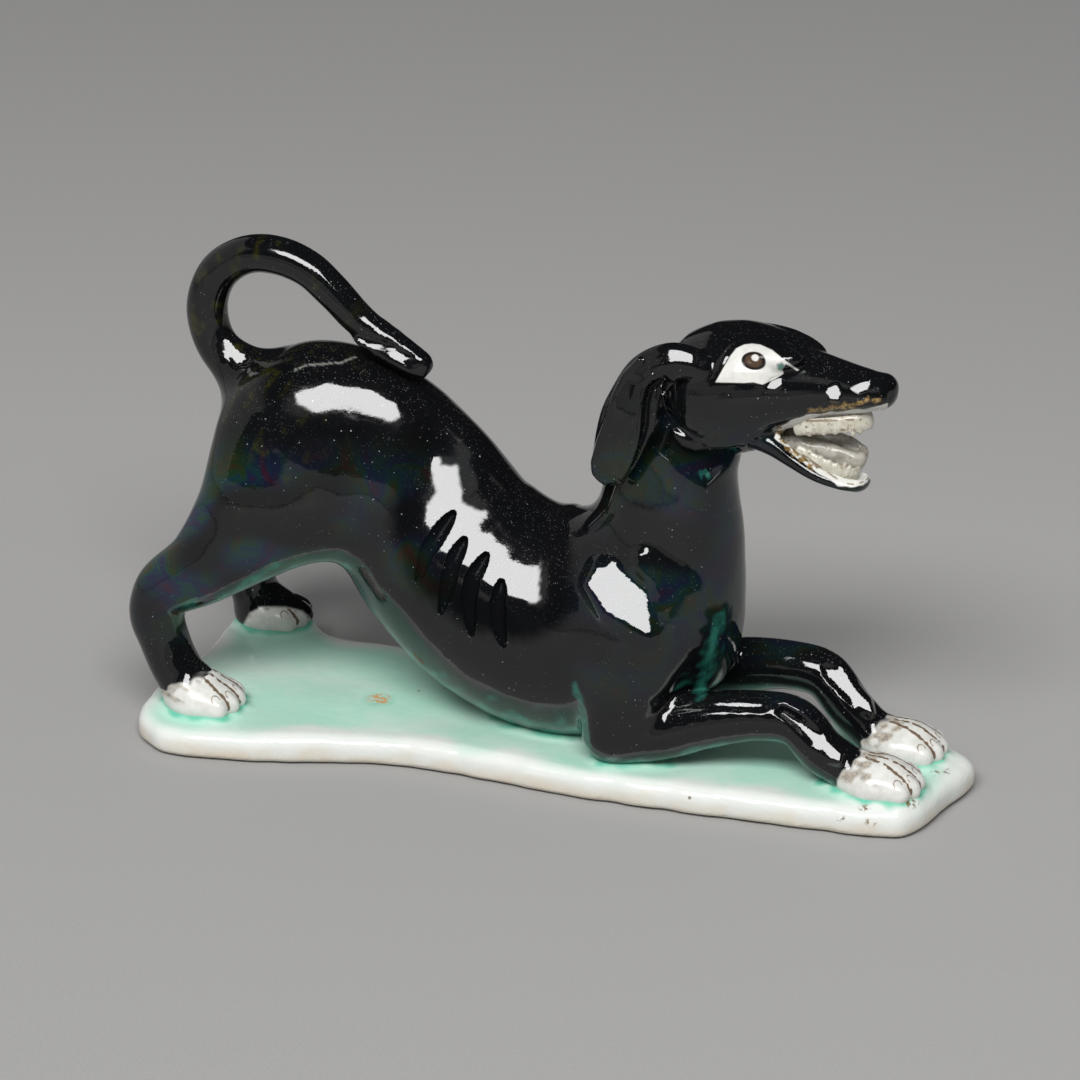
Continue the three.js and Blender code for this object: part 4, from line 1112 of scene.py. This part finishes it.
def make_piece(node, place, faces, material, slot, shading=None, **masks):
    """A visible piece that stands for a CAD node, with painted masks and its own or the given shading."""
    if shading is None:
        shading = vertex_normals(place, faces)
    mesh = bpy.data.meshes.new(f"{node}_glazed")
    mesh.from_pydata((place * MM).tolist(), [], faces.tolist())
    mesh.polygons.foreach_set("use_smooth", np.ones(len(faces), bool))
    for label, values in masks.items():
        attribute = mesh.attributes.new(label, "FLOAT_COLOR", "POINT")
        attribute.data.foreach_set("color", values.astype(np.float32).ravel())
    mesh.normals_split_custom_set_from_vertices(shading.tolist())
    mesh.materials.append(material)
    piece = linked(f"{node}_glazed", mesh)
    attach(piece, "root")
    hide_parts(node)


for index, name in enumerate(PIECES):
    faces = triangles[owner == index]
    patches = {name: faces}
    if name == "body":
        y = points[faces].mean(axis=1)[:, 1]
        patches = {"right_body_shell": faces[y < 0], "left_body_shell": faces[y >= 0]}
    cap = THIN_CAP if name.endswith(("_eye", "_ear")) else CAP_DEPTH.get(name, OTHER_CAP)
    pale = name in PAWS or name.endswith("_eye")
    for node, patch in patches.items():
        used, extra, patch_faces = closed_patch(patch, cap)
        bare = np.zeros((len(extra), 4))
        shading = np.vstack([normals[used], np.tile((0.0, 0, 1), (len(extra), 1))])
        make_piece(node, np.vstack([points[used], extra]), patch_faces,
                   white_glaze if pale else black_glaze, "white_glaze" if pale else "black_glaze", shading,
                   paint=np.vstack([paint[used], bare]), tint=np.vstack([tint[used], bare]))


# Teeth and tongue

TOOTH_VOXEL, TONGUE_VOXEL = ((0.13, 0.16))
SMALL_BAND = 1.2
RAIL_STEPS, TEETH, CANINE_SHARE = 25, 17, 0.42
UPPER_TILT, UPPER_AT, LOWER_AT = -12, (15.4, 0, 1.7), (9.25, 0, -0.3)

# The arch of the teeth in each jaw: length, half width, reach
UPPER_ARCH, LOWER_ARCH = (10.0, 3.0, -2.5), (8.4, 2.7, 2.3)


def arch_place(length, half_width, share):
    """A place on the arch of a jaw, from the right end at -1 round the front to the left end at 1."""
    angle = share * math.pi / 2
    return np.array([length * max(math.cos(angle), 0) ** 0.7, half_width * math.sin(angle), 0])


def tooth_strip(axes, at, length, half_width, reach):
    """A strip standing round the arch of a jaw with a tooth pinched out every so often."""
    arch = [arch_place(length, half_width, share) for share in np.linspace(-1, 1, RAIL_STEPS)]
    path = carried(arch, axes, at)
    strip = Field(path.min(axis=0) - 4, path.max(axis=0) + 4, TOOTH_VOXEL, SMALL_BAND)
    size = np.tile((0.5, 0.48 * abs(reach)), (len(path), 1))
    rail = np.hstack([path + 0.38 * reach * axes[:, 2], size])
    strip.add(loft(rail, axes[:, 2], 0.4, 0.4, 120, 16, 4), 0.1)
    for share in np.linspace(-0.94, 0.94, TEETH):
        canine = math.exp(-((abs(share) - CANINE_SHARE) / 0.07) ** 2)
        rise = reach * (0.95 + 0.4 * canine)
        centre = carried(arch_place(length, half_width, share) + (0, 0, 0.6 * rise), axes, at)[0]
        strip.add(ellipsoid(centre, (0.45, 0.5, abs(rise) * 0.4), axes), 0.25)
    return surface_of(strip)


for node, axes, at, arch in (
        ("upper_teeth", HEAD_AXES @ turn("y", UPPER_TILT), carried(UPPER_AT)[0], UPPER_ARCH),
        ("lower_teeth", JAW_AXES, carried(LOWER_AT, JAW_AXES, JAW_AT)[0], LOWER_ARCH)):
    place, faces = tooth_strip(axes, at, *arch)
    pixels = in_picture(mirrored_to_near(place))
    drawn = np.max([smoothstep(1.7, 0.6, line_distance(pixels, line)[0]) for line in GUM_LINES], axis=0)
    drawn *= smoothstep(-0.4, 0.2, waves(place, 1.3, 109))
    make_piece(node, place, faces, tooth_glaze, "mouth_glaze", paint=np.stack([drawn] * 4, axis=1))

TONGUE = np.array([
    (33.5, 0, 53.5, 1.6, 2.4), (36.7, 0, 53.7, 2, 2.8), (39.5, 0, 53.5, 1.9, 2.7), (42.6, 0, 52.7, 1.9, 2.3),
    (44.6, 0, 52, 1.7, 1.7)])
form = loft(TONGUE, HEAD_SIDE)
tongue = Field(form[0].min(axis=0) - 1, form[0].max(axis=0) + 2, TONGUE_VOXEL, SMALL_BAND)
tongue.add(form, 0.1)
tongue.carve(loft(TONGUE * (1, 1, 1, 0.5, 0.62) + (0, 0, 2.1, 0, 0), HEAD_SIDE, 0.3, 0.3), 0.4)
tongue.add(loft(TONGUE + (0, 1.1, 1, -0.5, -1.3), HEAD_SIDE), 0.8)
place, faces = surface_of(tongue)
place = place + 0.08 * (waves(place, 2.4, 53)[:, None] * vertex_normals(place, faces))
make_piece("tongue", place, faces, tongue_glaze_painted_shade, "mouth_glaze", paint=np.zeros((len(place), 4)))

# Slab: its outline from above, and marks in the picture's pixels

SLAB_OUTLINE = np.array([
    (57.1, -12.6), (59.8, -4.67), (61.7, 7.42), (55.7, 11.8), (24.7, 13.8), (0, 14.8), (-30.9, 14.8),
    (-43.2, 15.2), (-48.7, 19.2), (-54.9, 21), (-60.1, 15), (-60.1, 1.5), (-61.7, -12.8), (-59.7, -21.6),
    (-53.7, -25.6), (-40.7, -23.7), (-19.7, -17.4), (6.2, -17.7), (42, -15.5), (53.1, -14.2)])
SLAB_VOXEL, SLAB_BAND = 0.42, 3.0
TOP_ROUND, FOOT_ROUND, FOOT_LEAN, FOOT_HEIGHT = 2.0, 1.1, 0.55, 2.2
EDGE_INSET, GLAZE_SWELL = 0.3, 0.75
VENT_AT, VENT_RADIUS = (6.1, 0), 2.2
CHIPS = [
    ((864, 808), (7, 3)), ((911, 803), (9, 5)), ((871, 822), (6, 5)), ((935, 773), (5, 3)),
    ((947, 771), (4, 3)), ((841, 818), (4, 3)), ((866, 836), (4, 3))]
SPOT_AT, SPOT_SHAPE = (379, 699), (1, 1 / 2.2)


def closed_line(corners, each=14):
    """A smooth closed line through corners."""
    wrapped = np.vstack([corners[-3:], corners, corners[:3]])
    fine = spline(wrapped, (len(wrapped) - 1) * each + 1, True)
    return fine[3 * each:][:len(corners) * each]


def rounded(edge, rise, radius):
    """Distance from a rounded corner, given the distances beyond its upright and its level face."""
    a, b = edge + radius, rise + radius
    return np.minimum(np.maximum(a, b), 0) + np.hypot(np.maximum(a, 0), np.maximum(b, 0)) - radius


slab_line = closed_line(SLAB_OUTLINE)
slab = Field((-64, -28, -1), (64, 24, 6), SLAB_VOXEL, SLAB_BAND)
x, y, z = slab.places(slab.low, slab.size)
level = np.stack(np.broadcast_arrays(x, y, 0 * x), axis=3).reshape(-1, 3)
flat = level[:, :2]
wobble = 0.16 * waves(level, 13, 59) + 0.1 * waves(level, 5, 61)
vent = oval(flat, VENT_AT, 1) - VENT_RADIUS
edge = np.maximum(outline_distance(flat, slab_line) + EDGE_INSET + wobble, -vent).reshape(*slab.size[:2], 1)
lift = (0.12 * waves(level, 17, 67)).reshape(edge.shape)
slab.values = np.where(z > FOOT_HEIGHT, rounded(edge, z - SLAB_TOP - lift, TOP_ROUND),
                       rounded(FOOT_LEAN * edge, -z, FOOT_ROUND)).astype(np.float32)
slab.blur()
place, faces = surface_of(slab)
upper = place[:, 2] > SLAB_TOP - 1.2
gap = np.full(len(place), 9.0)
gap[upper] = distance(place[upper] + (0, 0, 0.35))
place[:, 2] += np.where(upper, GLAZE_SWELL * smoothstep(2.0, -0.2, gap) ** 2, 0)
pixels = in_picture(place)
mint = smoothstep(0.0, 5.0, waves(place, 12, 71) - outline_distance(place[:, :2], slab_line))
mint *= smoothstep(SLAB_TOP - 1.8, SLAB_TOP - 0.4, place[:, 2]) * (0.8 + 0.18 * waves(place, 19, 73))
foot = smoothstep(3.2, 0.8, place[:, 2] + 0.6 * waves(place, 6, 83))
spot_gap = oval(pixels, SPOT_AT, SPOT_SHAPE)
spot = smoothstep(14, 8, spot_gap) * upper
pool = smoothstep(1.5, -0.2, gap + 0.3 * waves(place, 3, 79))
pool = np.maximum(pool, 0.45 * smoothstep(24, 15, spot_gap) * upper)
chips = np.max([smoothstep(1.1, 0.5, oval(pixels, at, size)) for at, size in CHIPS], axis=0)
make_piece("slab", place, faces, green_glaze, "green_glaze",
           paint=np.stack([mint, pool, foot, spot], axis=1), tint=np.stack([chips] * 4, axis=1))


# Stage, camera and light, in metres

def card(name, corners, finish):
    mesh = bpy.data.meshes.new(name)
    mesh.from_pydata(corners, [], [(0, 1, 2, 3)])
    mesh.materials.append(finish.material)
    sheet = linked(name, mesh)


TABLE_HALF = 3
LEFT, RIGHT, FRONT, BACK = -1.3, 1.5, -1.6, 1.4
LEFT_TALL, FRONT_TALL = 1.5, 0.42
LAMP_WIDTH, LAMP_TALL, LAMP_WATTS = 0.72, 0.29, 9.4
table = Finish("table")
away = table.fade(table.part(table.place, 1), -0.25, 0.42)
# The table's grey is painted darker towards the front: painted shade
paper_with_painted_shade = table.ramp(
    away, (0.0, (0.292, 0.289, 0.284)), (0.5, (0.415, 0.410, 0.403)), (1.0, (0.410, 0.404, 0.398)))
grain = table.fade(table.noise(0.5, 2), 0.2, 0.8, 0.0, 0.5)
table.set(Base_Color=table.mix(grain, paper_with_painted_shade, (0.37, 0.367, 0.36)), Roughness=0.75, Specular_IOR_Level=0.2,
          Normal=table.bump(table.noise(0.4, 2), 0.2, 0.05))
card("table", [(TABLE_HALF * i, TABLE_HALF * j, 0) for i, j in ((-1, -1), (1, -1), (1, 1), (-1, 1))], table)

screen = Finish("screen")
screen.set(Base_Color=(0.1, 0.1, 0.1), Roughness=0.9, Emission_Color=(1, 0.985, 0.97), Emission_Strength=0.3)
card("left_screen", [
    (LEFT, FRONT, 0), (LEFT, BACK, 0), (LEFT, BACK, LEFT_TALL), (LEFT, FRONT, LEFT_TALL)], screen)
card("front_screen", [
    (LEFT, FRONT, 0), (RIGHT, FRONT, 0), (RIGHT, FRONT, FRONT_TALL), (LEFT, FRONT, FRONT_TALL)], screen)


def stand(name, data, at, azimuth, elevation):
    """Puts up a camera or a lamp, looking back along its azimuth and elevation."""
    thing = linked(name, data)
    thing.location = at * MM
    thing.rotation_euler = (math.pi / 2 - math.radians(elevation), 0, math.radians(azimuth))
    return thing


lens = bpy.data.cameras.new("camera")
lens.sensor_width = 36
lens.lens = lens.sensor_width * FOCAL_PIXELS / PICTURE
bpy.context.scene.camera = stand("camera", lens, CAMERA_AT, CAMERA_AZIMUTH, CAMERA_ELEVATION)

softbox = bpy.data.lights.new("softbox", "AREA")
softbox.shape = "RECTANGLE"
softbox.size, softbox.size_y, softbox.energy = LAMP_WIDTH, LAMP_TALL, LAMP_WATTS
stand("softbox", softbox, LAMP_AT, LAMP_AZIMUTH, LAMP_ELEVATION)

# The room lights evenly, but mirrors in the glaze as a dark one
ROOM, MIRRORED_ROOM = (0.27, 0.27, 0.275, 1), (0.012, 0.012, 0.013, 1)
world = bpy.data.worlds.new("world")
bpy.context.scene.world = world
world.use_nodes = True
nodes, links = world.node_tree.nodes, world.node_tree.links
room = nodes.new("ShaderNodeMix")
room.data_type = "RGBA"
shades = [socket for socket in room.inputs if socket.type == "RGBA"]
shades[0].default_value, shades[1].default_value = ROOM, MIRRORED_ROOM
links.new(nodes.new("ShaderNodeLightPath").outputs["Is Glossy Ray"], room.inputs[0])
links.new(next(s for s in room.outputs if s.type == "RGBA"), nodes["Background"].inputs["Color"])
bpy.context.scene.view_settings.view_transform = "Standard"
